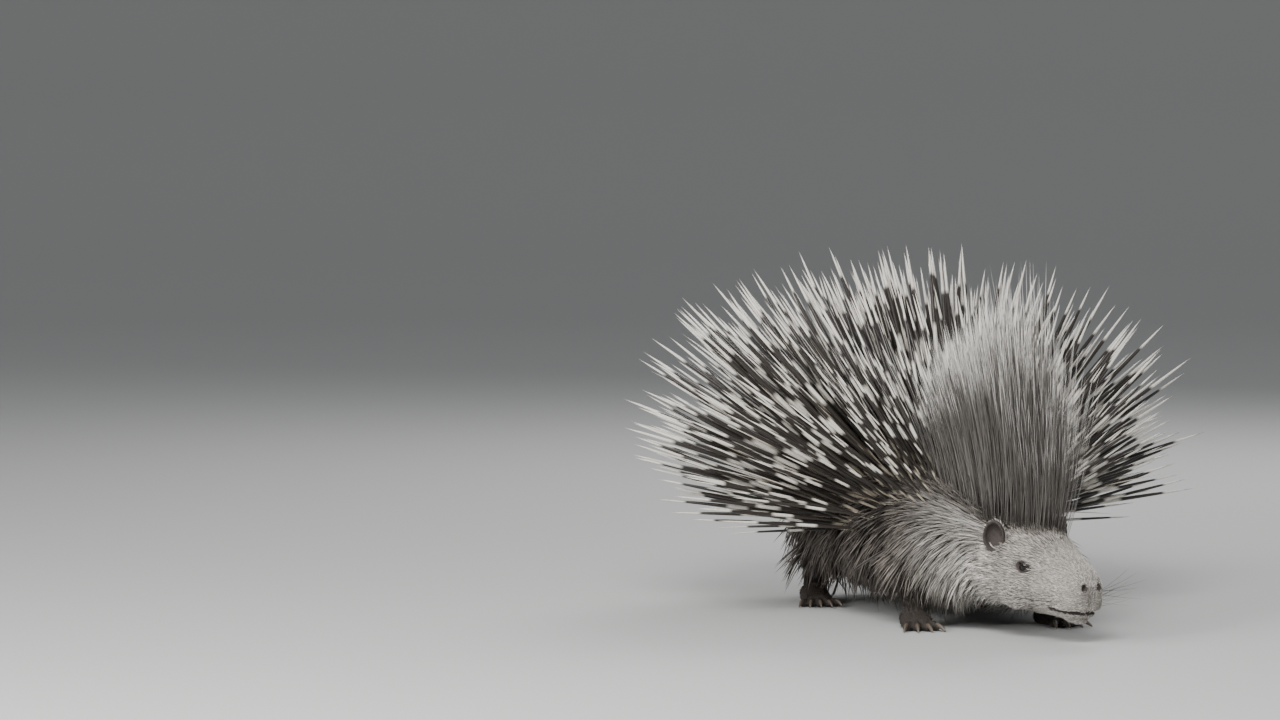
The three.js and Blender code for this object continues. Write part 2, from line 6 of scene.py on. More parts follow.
import bpy
import numpy as np
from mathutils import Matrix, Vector

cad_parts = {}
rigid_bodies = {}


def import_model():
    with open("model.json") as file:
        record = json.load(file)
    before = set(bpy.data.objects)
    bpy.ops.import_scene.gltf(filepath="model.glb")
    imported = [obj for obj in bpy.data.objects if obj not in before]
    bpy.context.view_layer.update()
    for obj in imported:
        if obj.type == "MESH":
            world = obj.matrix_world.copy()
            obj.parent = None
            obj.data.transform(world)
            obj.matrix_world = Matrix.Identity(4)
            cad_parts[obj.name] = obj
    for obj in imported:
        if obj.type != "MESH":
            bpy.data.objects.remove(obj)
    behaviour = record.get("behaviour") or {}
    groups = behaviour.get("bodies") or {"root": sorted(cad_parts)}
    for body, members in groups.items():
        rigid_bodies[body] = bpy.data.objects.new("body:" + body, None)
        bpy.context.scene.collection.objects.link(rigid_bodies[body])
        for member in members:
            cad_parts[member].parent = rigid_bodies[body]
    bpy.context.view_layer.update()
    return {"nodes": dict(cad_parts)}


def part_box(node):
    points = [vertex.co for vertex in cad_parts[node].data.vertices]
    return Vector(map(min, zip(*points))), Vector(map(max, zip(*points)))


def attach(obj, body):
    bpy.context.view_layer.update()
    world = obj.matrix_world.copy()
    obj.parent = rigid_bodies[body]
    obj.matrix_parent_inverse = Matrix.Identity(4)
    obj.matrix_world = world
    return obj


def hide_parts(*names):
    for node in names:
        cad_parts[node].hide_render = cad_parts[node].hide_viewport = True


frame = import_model()

# Skin
# The hide of the whole animal in one mesh without a seam: bare or thinly haired on the snout, the lids, the
# ears and the soles, and under the coat elsewhere. Trunk, skull, legs, ears and tail are lofted, merged into
# one surface and smoothed, and then the features of the face are pressed into it.
MM = 0.001
AHEAD = np.array([1.0, 0.0, 0.0])
UP = np.array([0.0, 0.0, 1.0])
INSIDE = 1.6 * MM  # how far the skin lies inside the solids
TRUNK = [  # centre, then half width, rise and drop, in millimetres
    [-322, 0, 130, 24, 22, 22], [-303, 0, 131, 58, 49, 50], [-264, 0, 133, 92, 74, 72],
    [-205, 0, 135, 117, 91, 84], [-135, 0, 135, 127, 96, 86], [-55, 0, 131, 124, 93, 83],
    [25, 0, 125, 112, 86, 77], [95, 0, 116, 93, 78, 68], [150, 3, 104, 74, 69, 60], [192, 8, 94, 61, 61, 54],
]
HEAD_DRAWN = np.array([228, 15, 86]) * MM
HEAD_TURN, HEAD_NOD = radians(12), radians(13)
SKULL = [  # place along the skull, then half width, rise and drop, in millimetres
    [-4, 54, 56, 50], [22, 50, 55, 49], [46, 42, 51, 46], [70, 35, 45, 41],
    [94, 31, 39, 38], [112, 29, 33, 35], [124, 24, 27, 29], [131, 16, 18, 20],
]
NOSE_TIP, RUMP_END = 134, -328
BOXY = 2.3  # the power of the body's sections: 2 is an ellipse, and more is squarer
EYE_PLACE = [45, 34, 14]
LID_RADIUS = 10.1
SWELLINGS = [  # whisker pad, brow, cheek, chin: the place on the skull, then the radii
    [[104, 15, -8], [26, 17, 19]], [[42, 29, 26], [18, 9, 8]], [[24, 31, -14], [42, 20, 31]],
    [[106, 0, -30], [22, 15, 9]],
]
SKULL_AXES = np.array([  # its way ahead, its left and its up, in rows
    [cos(HEAD_NOD) * cos(HEAD_TURN), cos(HEAD_NOD) * sin(HEAD_TURN), -sin(HEAD_NOD)],
    [-sin(HEAD_TURN), cos(HEAD_TURN), 0],
    [sin(HEAD_NOD) * cos(HEAD_TURN), sin(HEAD_NOD) * sin(HEAD_TURN), cos(HEAD_NOD)],
])


def unit(vectors):
    return vectors / np.maximum(np.linalg.norm(vectors, axis=-1, keepdims=True), 1e-12)


def smooth(values, low, high):
    """0 below the low value, 1 above the high one, and an easy rise between."""
    share = np.clip((np.asarray(values) - low) / (high - low), 0, 1)
    return share * share * (3 - 2 * share)


def fade(values, low, high):
    """1 below the low value, 0 above the high one, and an easy fall between."""
    return smooth(-values, -high, -low)


def bump(offset, width):
    """1 where an offset is 0, falling off on both sides."""
    return np.exp(-((offset / width) ** 2))


def mix(a, b, share):
    return a + (b - a) * share


def on_side(place, side):
    """A place on the left, which is mirrored to the right where side is -1."""
    return np.asarray(place, float) * [1, side, 1]


# The part's frame stands so far from the one in which these stations are measured.
eye_low, eye_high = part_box("eye_right")
eye_drawn = HEAD_DRAWN + on_side(EYE_PLACE, -1) * MM @ SKULL_AXES
SHIFT = (np.array(eye_low) + np.array(eye_high)) / 2 - eye_drawn
SHIFT[2] = 0
HEAD_AT = HEAD_DRAWN + SHIFT


def on_skull(places):
    """Places measured in millimetres along the skull, to its left and up, as points of the part."""
    return HEAD_AT + np.asarray(places, float) * MM @ SKULL_AXES


def to_skull(points):
    return (points - HEAD_AT) @ SKULL_AXES.T / MM


def on_line(stations, t):
    """Points of a centripetal Catmull-Rom line through the stations, at t from 0 to 1."""
    stations = np.asarray(stations, float)
    first, last = 2 * stations[0] - stations[1], 2 * stations[-1] - stations[-2]
    padded = np.vstack([first, stations, last])
    place = np.clip(np.asarray(t, float), 0, 1) * (len(stations) - 1)
    start = np.minimum(place.astype(int), len(stations) - 2)
    share = (place - start)[..., None]
    a, b, c, d = (padded[start + k] for k in range(4))
    gaps = [np.linalg.norm(step, axis=-1, keepdims=True) for step in (b - a, c - b, d - c)]
    before, span, after = (np.maximum(gap, 1e-7) ** 0.5 for gap in gaps)
    leave = ((b - a) / before - (c - a) / (before + span) + (c - b) / span) * span
    arrive = ((c - b) / span - (d - b) / (span + after) + (d - c) / after) * span
    cubic = 2 * (b - c) + leave + arrive
    square = 3 * (c - b) - 2 * leave - arrive
    return b + share * (leave + share * (square + share * cubic))


trunk = np.array(TRUNK, float) * MM
skull = np.array(SKULL, float)
skull_centres = on_skull([[along, 0, 0] for along in skull[:, 0]])
CENTRES = np.vstack([trunk[:, :3] + SHIFT, skull_centres])
SIZES = np.vstack([trunk[:, 3:], skull[:, 1:] * MM])


def body_frame(t, step=1e-3):
    """The body's middle line at t, with its way ahead, its left and its up there."""
    at = on_line(CENTRES, t)
    way = unit(on_line(CENTRES, np.minimum(t + step, 1)) - on_line(CENTRES, np.maximum(t - step, 0)))
    left = unit(np.cross(UP, way))
    return at, way, left, np.cross(way, left)


def bow(values, power):
    return np.sign(values) * np.abs(values) ** (2 / power)


def turns(sides):
    """Angles once round a section."""
    return -2 * pi * np.arange(sides) / sides


def around(at, left, up, size, angle, power=2):
    """Points of a section at angles from its top towards its left."""
    rise = np.where(np.cos(angle) > 0, size[..., 1], size[..., 2])
    side = bow(np.sin(angle), power) * size[..., 0]
    return at + side[..., None] * left + (bow(np.cos(angle), power) * rise)[..., None] * up


def on_body(t, angle):
    at, _, left, up = body_frame(t)
    return around(at, left, up, on_line(SIZES, t), angle, BOXY)


def lofted(start, rings, end):
    """Points and faces of one closed skin over rings of equally many points."""
    rings = np.asarray(rings)
    count, sides = rings.shape[:2]
    points = np.vstack([[start], rings.reshape(-1, 3), [end]])
    faces = []
    for k in range(sides):
        n = (k + 1) % sides
        faces.append((0, 1 + n, 1 + k))
        for ring in range(count - 1):
            a, b = 1 + ring * sides, 1 + (ring + 1) * sides
            faces.append((a + k, a + n, b + n, b + k))
        tail = 1 + (count - 1) * sides
        faces.append((len(points) - 1, tail + k, tail + n))
    return points, faces


def stem(line, size, sides, hint):
    """One closed stem round a line of points, with its half width, rise and drop at each."""
    way = unit(np.gradient(line, axis=0))
    left = unit(np.cross(hint, way))
    up = np.cross(way, left)
    rings = around(line[:, None], left[:, None], up[:, None], size[:, None], turns(sides))
    return lofted(line[0], rings, line[-1])


def trunk_and_skull(count=150, sides=72):
    t = np.linspace(0, 1, count)[:, None]
    at, _, left, up = body_frame(t)
    rings = around(at, left, up, on_line(SIZES, t) - INSIDE, turns(sides), BOXY)
    rump = np.array([RUMP_END, 0, TRUNK[0][2]]) * MM + SHIFT + AHEAD * INSIDE
    return lofted(rump, rings, on_skull([NOSE_TIP - INSIDE / MM, 0, -1]))


def ball(at, radii, axes=SKULL_AXES, steps=24):
    """A ball stretched along three axes, which are given in rows, with its radii in millimetres."""
    tilts = pi * np.arange(1, steps // 2) / (steps // 2)
    rings = [[[-cos(v), sin(v) * sin(u), sin(v) * cos(u)] for u in turns(steps)] for v in tilts]
    points, faces = lofted([-1, 0, 0], rings, [1, 0, 0])
    return np.asarray(at) + points * radii * MM @ axes, faces


# The ears are small rounded cups on the sides of the skull, half hidden by the coat. They open outwards and
# a little ahead, and their rim is rolled in.
EAR = {
    "at": [-6, 51.5, 36], "wide": 14.5, "high": 19.5, "deep": 11, "open": [0.42, 0.84, 0.2], "lean": 0.3,
    "fold": 0.07, "flare": 2.2, "back": 1.08, "floor": 0.68,
}
EAR_PROFILE = [  # share of the cup's width, then its depth, from the back round the rim to the hollow's floor
    [0.45, -1.0], [0.78, -0.8], [0.94, -0.42], [1.0, 0.0], [0.97, 0.2], [0.86, 0.24], [0.78, 0.06],
    [0.72, -0.25], [0.55, -0.55], [0.3, -0.66],
]


def ear_cup(side, sides=40):
    out = unit(on_side(EAR["open"], side) @ SKULL_AXES)
    upward = unit(np.array([-EAR["lean"], 0, 1]) @ SKULL_AXES)
    upward = unit(upward - out * (upward @ out))
    across = np.cross(upward, out)
    at = on_skull(on_side(EAR["at"], side))
    rings = []
    for share, depth in EAR_PROFILE:
        ring = []
        for k in range(sides):
            turn = 2 * pi * k / sides
            fold = 1 + EAR["fold"] * sin(3 * turn + 0.6) * max(share - 0.5, 0)
            flat = share * fold * np.array([EAR["wide"] * sin(turn), EAR["high"] * cos(turn)])
            lift = depth * EAR["deep"] + EAR["flare"] * share * cos(turn)
            ring.append(at + (flat[0] * across + flat[1] * upward + lift * out) * MM)
        rings.append(ring[::side])
    back, floor = (at - out * EAR["deep"] * EAR[end] * MM for end in ("back", "floor"))
    return lofted(back, rings, floor)


FORELEG = {
    "line": [[76, 62, 126], [84, 78, 92], [96, 84, 58], [108, 84, 34], [110, 84, 12]],
    "sizes": [[24, 30, 30], [22, 26, 28], [17, 18, 20], [14.5, 15, 16], [14.5, 15, 16]],
    "heel": [92, 84, 0], "length": 52, "toes": [-24, -8, 8, 24], "toe": [13, 5.6, 6.6],
    "foot": [[0, 11, 13], [0.22, 17, 19], [0.5, 19.5, 19], [0.78, 20, 13], [1, 18, 8]],
    "claw": [17, 2.6],
}
HINDLEG = {
    "line": [[-176, 72, 122], [-166, 92, 90], [-184, 101, 58], [-204, 101, 34], [-206, 101, 12]],
    "sizes": [[34, 44, 44], [28, 38, 36], [19, 24, 22], [15.5, 16, 17], [15.5, 16, 17]],
    "heel": [-226, 101, 0], "length": 74, "toes": [-28, -14, 0, 14, 28], "toe": [12, 5.2, 6.1],
    "foot": [[0, 12, 14], [0.2, 17, 19], [0.45, 19, 18], [0.75, 20.5, 13], [1, 18.5, 8]],
    "claw": [13, 2.3],
}
LEGS = [  # the plan, the side, the step ahead in millimetres and the turn outwards
    (FORELEG, -1, 0, radians(8)), (FORELEG, 1, 14, radians(10)),
    (HINDLEG, -1, 8, radians(12)), (HINDLEG, 1, -8, radians(12)),
]
FOOT = {"centre": 7, "drop": 8, "inside": 1.2, "boxy": 2.3, "heel bulge": 4, "toe bulge": 2}
TOE = {"apart": 1.9, "bow": 0.35, "back": 4, "lift": 0.8, "ahead": 4}
KNUCKLE = {"radii": [10, 4.6, 5.5], "back": 9, "lift": 5}


def turned(vector, angle):
    """A vector turned about the upright."""
    x, y, z = vector
    return np.array([x * cos(angle) - y * sin(angle), x * sin(angle) + y * cos(angle), z])


def leg_line(leg, t):
    plan, side, step, _ = leg
    return on_line((on_side(plan["line"], side) + [step, 0, 0]) * MM + SHIFT, t)


def leg_column(leg, count=24, sides=32):
    t = np.linspace(0, 1, count)
    size = on_line(np.array(leg[0]["sizes"], float) * MM, t) - INSIDE
    return stem(leg_line(leg, t), size, sides, AHEAD)


def foot_place(leg, along, left, up):
    """A point of a foot, measured in millimetres from its heel along its own way."""
    plan, side, step, splay = leg
    way = turned(AHEAD, side * splay)
    heel = (on_side(plan["heel"], side) + [step, 0, 0]) * MM + SHIFT
    return heel + (way * along + np.cross(UP, way) * left + UP * up) * MM


def foot_block(leg, count=14, sides=40):
    plan, side, _, splay = leg
    left = np.cross(UP, turned(AHEAD, side * splay))
    rings = []
    for share, wide, rise in on_line(plan["foot"], np.linspace(0, 1, count)):
        at = foot_place(leg, share * plan["length"], 0, FOOT["centre"])
        size = np.array([wide - FOOT["inside"], rise - FOOT["inside"], FOOT["drop"]]) * MM
        rings.append(around(at, left, UP, size, turns(sides), FOOT["boxy"]))
    ends = (-FOOT["heel bulge"], plan["length"] + FOOT["toe bulge"])
    back, front = (foot_place(leg, along, 0, FOOT["centre"]) for along in ends)
    return lofted(back, rings, front)


def toe_places(leg):
    """The root and the direction of each toe."""
    plan, side, _, splay = leg
    long, _, high = plan["toe"]
    front = plan["foot"][-1][1]
    for degrees in plan["toes"]:
        spread = radians(degrees)
        along = plan["length"] - TOE["back"] + long * TOE["bow"] * cos(3 * spread)
        root = foot_place(leg, along, front * TOE["apart"] * sin(spread), high * TOE["lift"])
        yield root, turned(AHEAD, side * splay + spread)


def toes(leg):
    for root, way in toe_places(leg):
        axes = np.array([way, np.cross(UP, way), UP])
        yield ball(root + way * TOE["ahead"] * MM, leg[0]["toe"], axes)
        yield ball(root - way * KNUCKLE["back"] * MM + UP * KNUCKLE["lift"] * MM, KNUCKLE["radii"], axes)


TAIL = {
    "root": [-296, 0, 152], "rise": radians(34), "length": 96, "radius": 27, "tip": 13,
    "rounded": 0.86, "last ring": 0.96, "end": 0.985,
}
TAIL_WAY = np.array([-cos(TAIL["rise"]), 0, sin(TAIL["rise"])])
TAIL_ROOT = np.array(TAIL["root"]) * MM + SHIFT


def tail_stem(count=16, sides=28):
    shares = np.linspace(0, TAIL["last ring"], count)
    taper = mix(TAIL["radius"], TAIL["tip"], shares) * np.sqrt(1 - smooth(shares, TAIL["rounded"], 1.0) * 0.5)
    at = TAIL_ROOT + shares[:, None] * TAIL["length"] * MM * TAIL_WAY
    left = unit(np.cross(AHEAD, TAIL_WAY))
    size = np.repeat((taper * MM - INSIDE)[:, None, None], 3, axis=2)
    rings = around(at[:, None], left, np.cross(TAIL_WAY, left), size, turns(sides))
    return lofted(TAIL_ROOT, rings, TAIL_ROOT + TAIL["length"] * TAIL["end"] * MM * TAIL_WAY)


def placed(name, data):
    """A new object in the scene."""
    made = bpy.data.objects.new(name, data)
    bpy.context.scene.collection.objects.link(made)
    return made


def mesh_of(name, shells):
    """One mesh object of several shells of points and faces."""
    points, faces, count = [], [], 0
    for shell_points, shell_faces in shells:
        points.append(shell_points)
        faces += [[count + i for i in face] for face in shell_faces]
        count += len(shell_points)
    mesh = bpy.data.meshes.new(name)
    mesh.from_pydata(np.vstack(points).tolist(), [], faces)
    mesh.shade_smooth()
    return placed(name, mesh)


def settled(made):
    """The object with its modifiers worked into its mesh."""
    evaluated = made.evaluated_get(bpy.context.evaluated_depsgraph_get())
    mesh = bpy.data.meshes.new_from_object(evaluated)
    made.modifiers.clear()
    old = made.data
    made.data = mesh
    if not old.users:
        bpy.data.meshes.remove(old)
    mesh.name = made.name
    return made


def surface_of(mesh):
    """The points of a mesh and its outward directions there, in rows."""
    read = []
    for items, key in ((mesh.vertices, "co"), (mesh.vertex_normals, "vector")):
        values = np.empty(len(items) * 3)
        items.foreach_get(key, values)
        read.append(values.reshape(-1, 3))
    return read


shells = [trunk_and_skull(), tail_stem()]
for side in (-1, 1):
    shells.append(ball(on_skull(on_side(EYE_PLACE, side)), [LID_RADIUS] * 3))
    shells.append(ear_cup(side))
    for place, radii in SWELLINGS:
        shells.append(ball(on_skull(on_side(place, side)), np.array(radii) - INSIDE / MM))
for leg in LEGS:
    shells += [leg_column(leg), foot_block(leg), *toes(leg)]
skin = mesh_of("skin", shells)

merge = skin.modifiers.new("merge", "REMESH")
merge.mode = "VOXEL"
merge.voxel_size = 1.3 * MM
merge.use_smooth_shade = True
settled(skin)


def grouped(made, name, weights, steps=20):
    """A vertex group with a weight for each point, in so many steps."""
    group = made.vertex_groups.new(name=name)
    reached = np.round(weights * steps).astype(int)
    for step in range(1, steps + 1):
        group.add(np.flatnonzero(reached == step).tolist(), step / steps, "REPLACE")
    return name


def in_radii(offsets, radii):
    """How far offsets along the axes of a rounded form are from its middle, in its radii."""
    return np.sqrt(sum((offset / radius) ** 2 for offset, radius in zip(offsets, radii)))


def gap_to(place, along, left, up, radii=(1, 1, 1)):
    """The same for a form that stands at a place on both sides of the skull."""
    return in_radii((along - place[0], np.abs(left) - place[1], up - place[2]), radii)


FINE = {"lids": 15, "ears": 26, "toes": 22, "behind": 40, "nose": 116}  # how far each fine form reaches


def fine_forms(points):
    """1 on the ears, the lids, the lips, the nose and the toes, and 0 where broad forms flow together."""
    along, left, up = to_skull(points).T
    lids = gap_to(EYE_PLACE, along, left, up) < FINE["lids"]
    ears = gap_to(EAR["at"], along, left, up) < FINE["ears"]
    toes = (points[:, 2] < FINE["toes"] * MM) & (along < FINE["behind"])
    return lids | ears | toes | (along > FINE["nose"])


points, _ = surface_of(skin.data)
soften = skin.modifiers.new("soften", "SMOOTH")
soften.factor = 0.5
soften.iterations = 36
soften.vertex_group = grouped(skin, "broad forms", np.where(fine_forms(points), 0.12, 1.0))
thin = skin.modifiers.new("thin", "DECIMATE")
thin.ratio = 0.27
thin.vertex_group = grouped(skin, "head", smooth(to_skull(points)[:, 0], -40, 0))
thin.invert_vertex_group = True
thin.vertex_group_factor = 40
settled(skin)
skin.vertex_groups.clear()

# The face: each feature moves the points near it, measured on the skull in millimetres.
MOUTH = {
    "corner": 86, "height": -21, "middle": 115, "fall": radians(8), "groove": 1.5, "depth": 3.2,
    "opens": (83, 94), "past nose": 6,
}
LIPS = {"off": 4.2, "wide": 2.4, "swell": 1.1}
CLEFT = {"wide": 1.3, "deep": 2.2, "front": (122, 128), "foot": (-22, -16), "top": (2, 10)}
NOSTRIL = {
    "at": [127, 10, 13], "radii": [7.5, 2.7, 4.6], "depth": 4.6, "edge": (0.55, 1.05), "slant": [0.9, 0.45],
    "rim": 1.2, "rim at": 1.35, "rim wide": 0.3, "rim above": -4,
}
BRIDGE = {"wide": 9, "swell": 1.6, "rises": (55, 80), "falls": (100, 122), "above": 10}
HOLLOW = {"at": [66, 6], "long": 13, "high": 11, "deep": 2.0, "off middle": 18}
LID_OPENING, LID_EDGE = [7.8, 5.2], (0.86, 1.12)


def mouth_line(along):
    return MOUTH["height"] + (along - MOUTH["middle"]) * np.tan(MOUTH["fall"])


def off_eye(along, up, opening):
    """How far points are from the middle of the eye, seen from the side, in sizes of an opening."""
    return in_radii((along - EYE_PLACE[0], up - EYE_PLACE[2]), opening)


def pressed(points, normals):
    """The points of the skin, moved in and out by the mouth, the nose, the cheeks' hollows and the lids."""
    along, left, up = to_skull(points).T
    out = np.abs(left)
    off_line = up - mouth_line(along)
    in_mouth = smooth(along, *MOUTH["opens"]) * (along < NOSE_TIP + MOUTH["past nose"])
    push = MOUTH["depth"] * in_mouth * bump(off_line, MOUTH["groove"])
    push -= LIPS["swell"] * in_mouth * bump(np.abs(off_line) - LIPS["off"], LIPS["wide"])
    cleft = smooth(along, *CLEFT["front"]) * smooth(up, *CLEFT["foot"]) * fade(up, *CLEFT["top"])
    push += CLEFT["deep"] * cleft * bump(left, CLEFT["wide"])
    ahead, beside, above = along - NOSTRIL["at"][0], out - NOSTRIL["at"][1], up - NOSTRIL["at"][2]
    slant = beside * NOSTRIL["slant"][0] + above * NOSTRIL["slant"][1]
    rise = above * NOSTRIL["slant"][0] - beside * NOSTRIL["slant"][1]
    reach = in_radii((ahead, slant, rise), NOSTRIL["radii"])
    push += NOSTRIL["depth"] * (1 - smooth(reach, *NOSTRIL["edge"]))
    rim = NOSTRIL["rim"] * bump(reach - NOSTRIL["rim at"], NOSTRIL["rim wide"])
    push -= rim * (rise > NOSTRIL["rim above"])
    bridge = bump(left, BRIDGE["wide"]) * smooth(along, *BRIDGE["rises"]) * fade(along, *BRIDGE["falls"])
    push -= BRIDGE["swell"] * (bridge * (up > BRIDGE["above"]))
    hollow = bump(along - HOLLOW["at"][0], HOLLOW["long"]) * bump(up - HOLLOW["at"][1], HOLLOW["high"])
    push += HOLLOW["deep"] * (hollow * (out > HOLLOW["off middle"]))
    points = points - normals * (push * MM)[:, None]
    opened = (1 - smooth(off_eye(along, up, LID_OPENING), *LID_EDGE)) * (out > EYE_PLACE[1] - 4)
    inwards = (np.maximum(out - (EYE_PLACE[1] - 1), 0) * opened * np.sign(left) * MM)[:, None]
    return points - inwards * SKULL_AXES[1]


points = pressed(*surface_of(skin.data))
points[:, 2] = np.maximum(points[:, 2], 0.5 * MM)
skin.data.vertices.foreach_set("co", points.ravel())
skin.data.update()

# The skin's finish is dark and leathery where it is bare, and elsewhere streaked along the lie of the coat.
UNDER_FUR, UNDER_PALE, PARTING = (0.055, 0.044, 0.036, 1), (0.48, 0.44, 0.40, 1), (0.02, 0.017, 0.014, 1)
LEATHER, LEATHER_GRAIN = (0.07, 0.056, 0.05, 1), (0.03, 0.025, 0.022, 1)


def feed(node, inputs):
    """Sets the inputs of a node, or links them where the value comes out of another node."""
    for key, value in inputs.items():
        if isinstance(value, bpy.types.NodeSocket):
            node.id_data.links.new(value, node.inputs[key])
        else:
            node.inputs[key].default_value = value
    return node


def add_node(tree, kind, inputs, output=0, **settings):
    """One output of a new node with these inputs and settings."""
    made = tree.nodes.new(kind)
    for key, value in settings.items():
        setattr(made, key, value)
    return feed(made, inputs).outputs[output]


def attribute(tree, name, output="Fac"):
    return add_node(tree, "ShaderNodeAttribute", {}, output, attribute_name=name)


def noise(tree, scale, detail, **inputs):
    return add_node(tree, "ShaderNodeTexNoise", {"Scale": scale, "Detail": detail, **inputs}, "Fac")


def blended(tree, share, first, second, kind="MIX"):
    """The colour between two colours."""
    inputs = {0: share, 6: first, 7: second}
    return add_node(tree, "ShaderNodeMix", inputs, 2, data_type="RGBA", blend_type=kind)


def finish(name, roughness, specular=0.4, coat=0.0):
    """A new material, its nodes and its main shader, with the values that are the same all over it."""
    material = bpy.data.materials.new(name)
    material.use_nodes = True
    shader = material.node_tree.nodes["Principled BSDF"]
    feed(shader, {"Roughness": roughness, "Specular IOR Level": specular, "Coat Weight": coat})
    return material, material.node_tree, shader


def skin_finish():
    material, tree, shader = finish("skin", 0.75, 0.3)
    run = {"Vector": attribute(tree, "unwrap", "Vector"), "Scale": (90, 900, 1)}
    streaks = noise(tree, 1.0, 4.0, Vector=add_node(tree, "ShaderNodeMapping", run))
    grain = noise(tree, 420.0, 5.0, Vector=add_node(tree, "ShaderNodeTexCoord", {}, "Object"))
    coat = blended(tree, streaks, blended(tree, attribute(tree, "pale"), UNDER_FUR, UNDER_PALE), PARTING)
    hide = blended(tree, grain, LEATHER, LEATHER_GRAIN)
    height = add_node(tree, "ShaderNodeMath", {0: streaks, 1: grain}, operation="ADD")
    relief = add_node(tree, "ShaderNodeBump", {"Height": height, "Strength": 0.5, "Distance": 0.0012})
    feed(shader, {"Base Color": blended(tree, attribute(tree, "bare"), coat, hide), "Normal": relief})
    return material


skin.data.materials.append(skin_finish())
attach(skin, "root")
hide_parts(*[name for name in frame["nodes"] if not name.startswith("eye")])

# How the coat grows
# Hair and quills lie back along the body from the nose to the tail and down the legs. Each point of the skin
# is given its place on the body, and from that its way of growing, its length of fur and its markings.
def nearest_on(line, points, batch=20000):
    """The number of the nearest of a few points of a line, and how far it is, for many points."""
    numbers, gaps = np.empty(len(points), int), np.empty(len(points))
    for start in range(0, len(points), batch):
        part = points[start:start + batch]
        squares = (part ** 2).sum(1)[:, None] - 2 * part @ line.T + (line ** 2).sum(1)
        numbers[start:start + batch] = squares.argmin(1)
        gaps[start:start + batch] = np.sqrt(np.maximum(squares.min(1), 0))
    return numbers, gaps


def place_on_body(points):
    """Each point's t on the middle line, its angle from the top and its distance, in sizes of the section."""
    samples = np.linspace(0, 1, 500)
    t = samples[nearest_on(on_line(CENTRES, samples), points)[0]]
    at, _, left, up = body_frame(t)
    size = on_line(SIZES, t)
    side = ((points - at) * left).sum(1) / size[:, 0]
    rise = ((points - at) * up).sum(1)
    rise = rise / np.where(rise > 0, size[:, 1], size[:, 2])
    squarish = [bow(value, 4 / BOXY) for value in (side, rise)]
    return t, np.arctan2(*squarish), np.hypot(*squarish) ** (2 / BOXY)


def way_on_body(t, angle, step=0.004, swing=0.02):
    """The body's outward direction, from two short steps on its surface."""
    along = on_body(np.minimum(t + step, 1), angle) - on_body(np.maximum(t - step, 0), angle)
    round_it = on_body(t, angle + swing) - on_body(t, angle - swing)
    return unit(np.cross(along, round_it))


points, normals = surface_of(skin.data)
t, angle, reach = place_on_body(points)
x = (points[:, 0] - SHIFT[0]) / MM
height = points[:, 2] / MM
along, left, up = to_skull(points).T
out = np.abs(left)
turn = np.abs(angle)
_, ahead, leftward, _ = body_frame(t)

LEG_HIDE = {  # the skin of a leg lies so near its line, so low, and off the trunk or below the foot's height
    "reach": 46, "top": 92, "off trunk": 1.05, "foot": 30, "past toes": 12, "toe height": 6,
}
leg_share, leg_way = np.zeros(len(points)), np.zeros((len(points), 3))
leg_number = np.full(len(points), -1)
for number, leg in enumerate(LEGS):
    line = leg_line(leg, np.linspace(0.2, 1, 50))
    toe = foot_place(leg, leg[0]["length"] + LEG_HIDE["past toes"], 0, LEG_HIDE["toe height"])
    line = np.vstack([line, line[-1] + np.linspace(0.1, 1, 20)[:, None] * (toe - line[-1])])
    index, gap = nearest_on(line, points)
    off_trunk = (reach > LEG_HIDE["off trunk"]) | (height < LEG_HIDE["foot"])
    on_leg = (gap < LEG_HIDE["reach"] * MM) & off_trunk & (height < LEG_HIDE["top"]) & (leg_number < 0)
    leg_number[on_leg] = number
    leg_share[on_leg] = index[on_leg] / len(line)
    leg_way[on_leg] = unit(np.gradient(line, axis=0))[index[on_leg]]
legs = smooth(leg_number, -1, 0)
along_tail = (points - TAIL_ROOT) @ TAIL_WAY / MM
on_tail = ((along_tail > 14) & (x < TAIL["root"][0]) & (leg_number < 0)).astype(float)

DROOP = {"flank": 0.5, "fringe": 1.5}  # how far hair lies down, beside lying back
HANGS = radians(68), radians(100)  # the angles from the top at which the fringe starts and is full
CHEEK_SPREAD = 0.35
hang = smooth(turn, *HANGS) * fade(along, -60, -15) * (1 - legs)
droop = DROOP["flank"] * np.sin(np.clip(turn, 0, pi / 2)) ** 2 * fade(along, -60, 20) + DROOP["fringe"] * hang
lie = -ahead - UP * droop[:, None]
lie += leftward * (np.sign(angle) * CHEEK_SPREAD * smooth(along, -30, 40) * np.sin(turn))[:, None]
lie = mix(lie, leg_way, legs[:, None])
lie = mix(lie, TAIL_WAY, on_tail[:, None])
lie = unit(lie - normals * (lie * normals).sum(1, keepdims=True))

FUR_ALONG_BODY = [[-328, 24], [-200, 34], [40, 34], [130, 30], [190, 24], [225, 17]]
FUR_ALONG_SKULL = [[-15, 16], [15, 11], [45, 8], [80, 6], [115, 4.2], [136, 3]]
FUR_DOWN_LEG = [[0, 4], [14, 6], [40, 14], [60, 24], [85, 36]]
FUR_ON_TAIL = 16
STAND = {"body": radians(30), "head": radians(17), "legs": radians(14)}


def read_off(pairs, values):
    return np.interp(values, *np.array(pairs, float).T)


fur = mix(read_off(FUR_ALONG_BODY, x), read_off(FUR_ALONG_SKULL, along), smooth(along, -30, 0))
fur = mix(fur * (1 + hang), read_off(FUR_DOWN_LEG, height), legs)
fur = mix(fur, FUR_ON_TAIL, on_tail)
stand = mix(STAND["body"], STAND["head"], smooth(along, -20, 20))
stand = mix(stand, STAND["legs"], legs)
way = unit(lie * np.cos(stand)[:, None] + normals * np.sin(stand)[:, None])

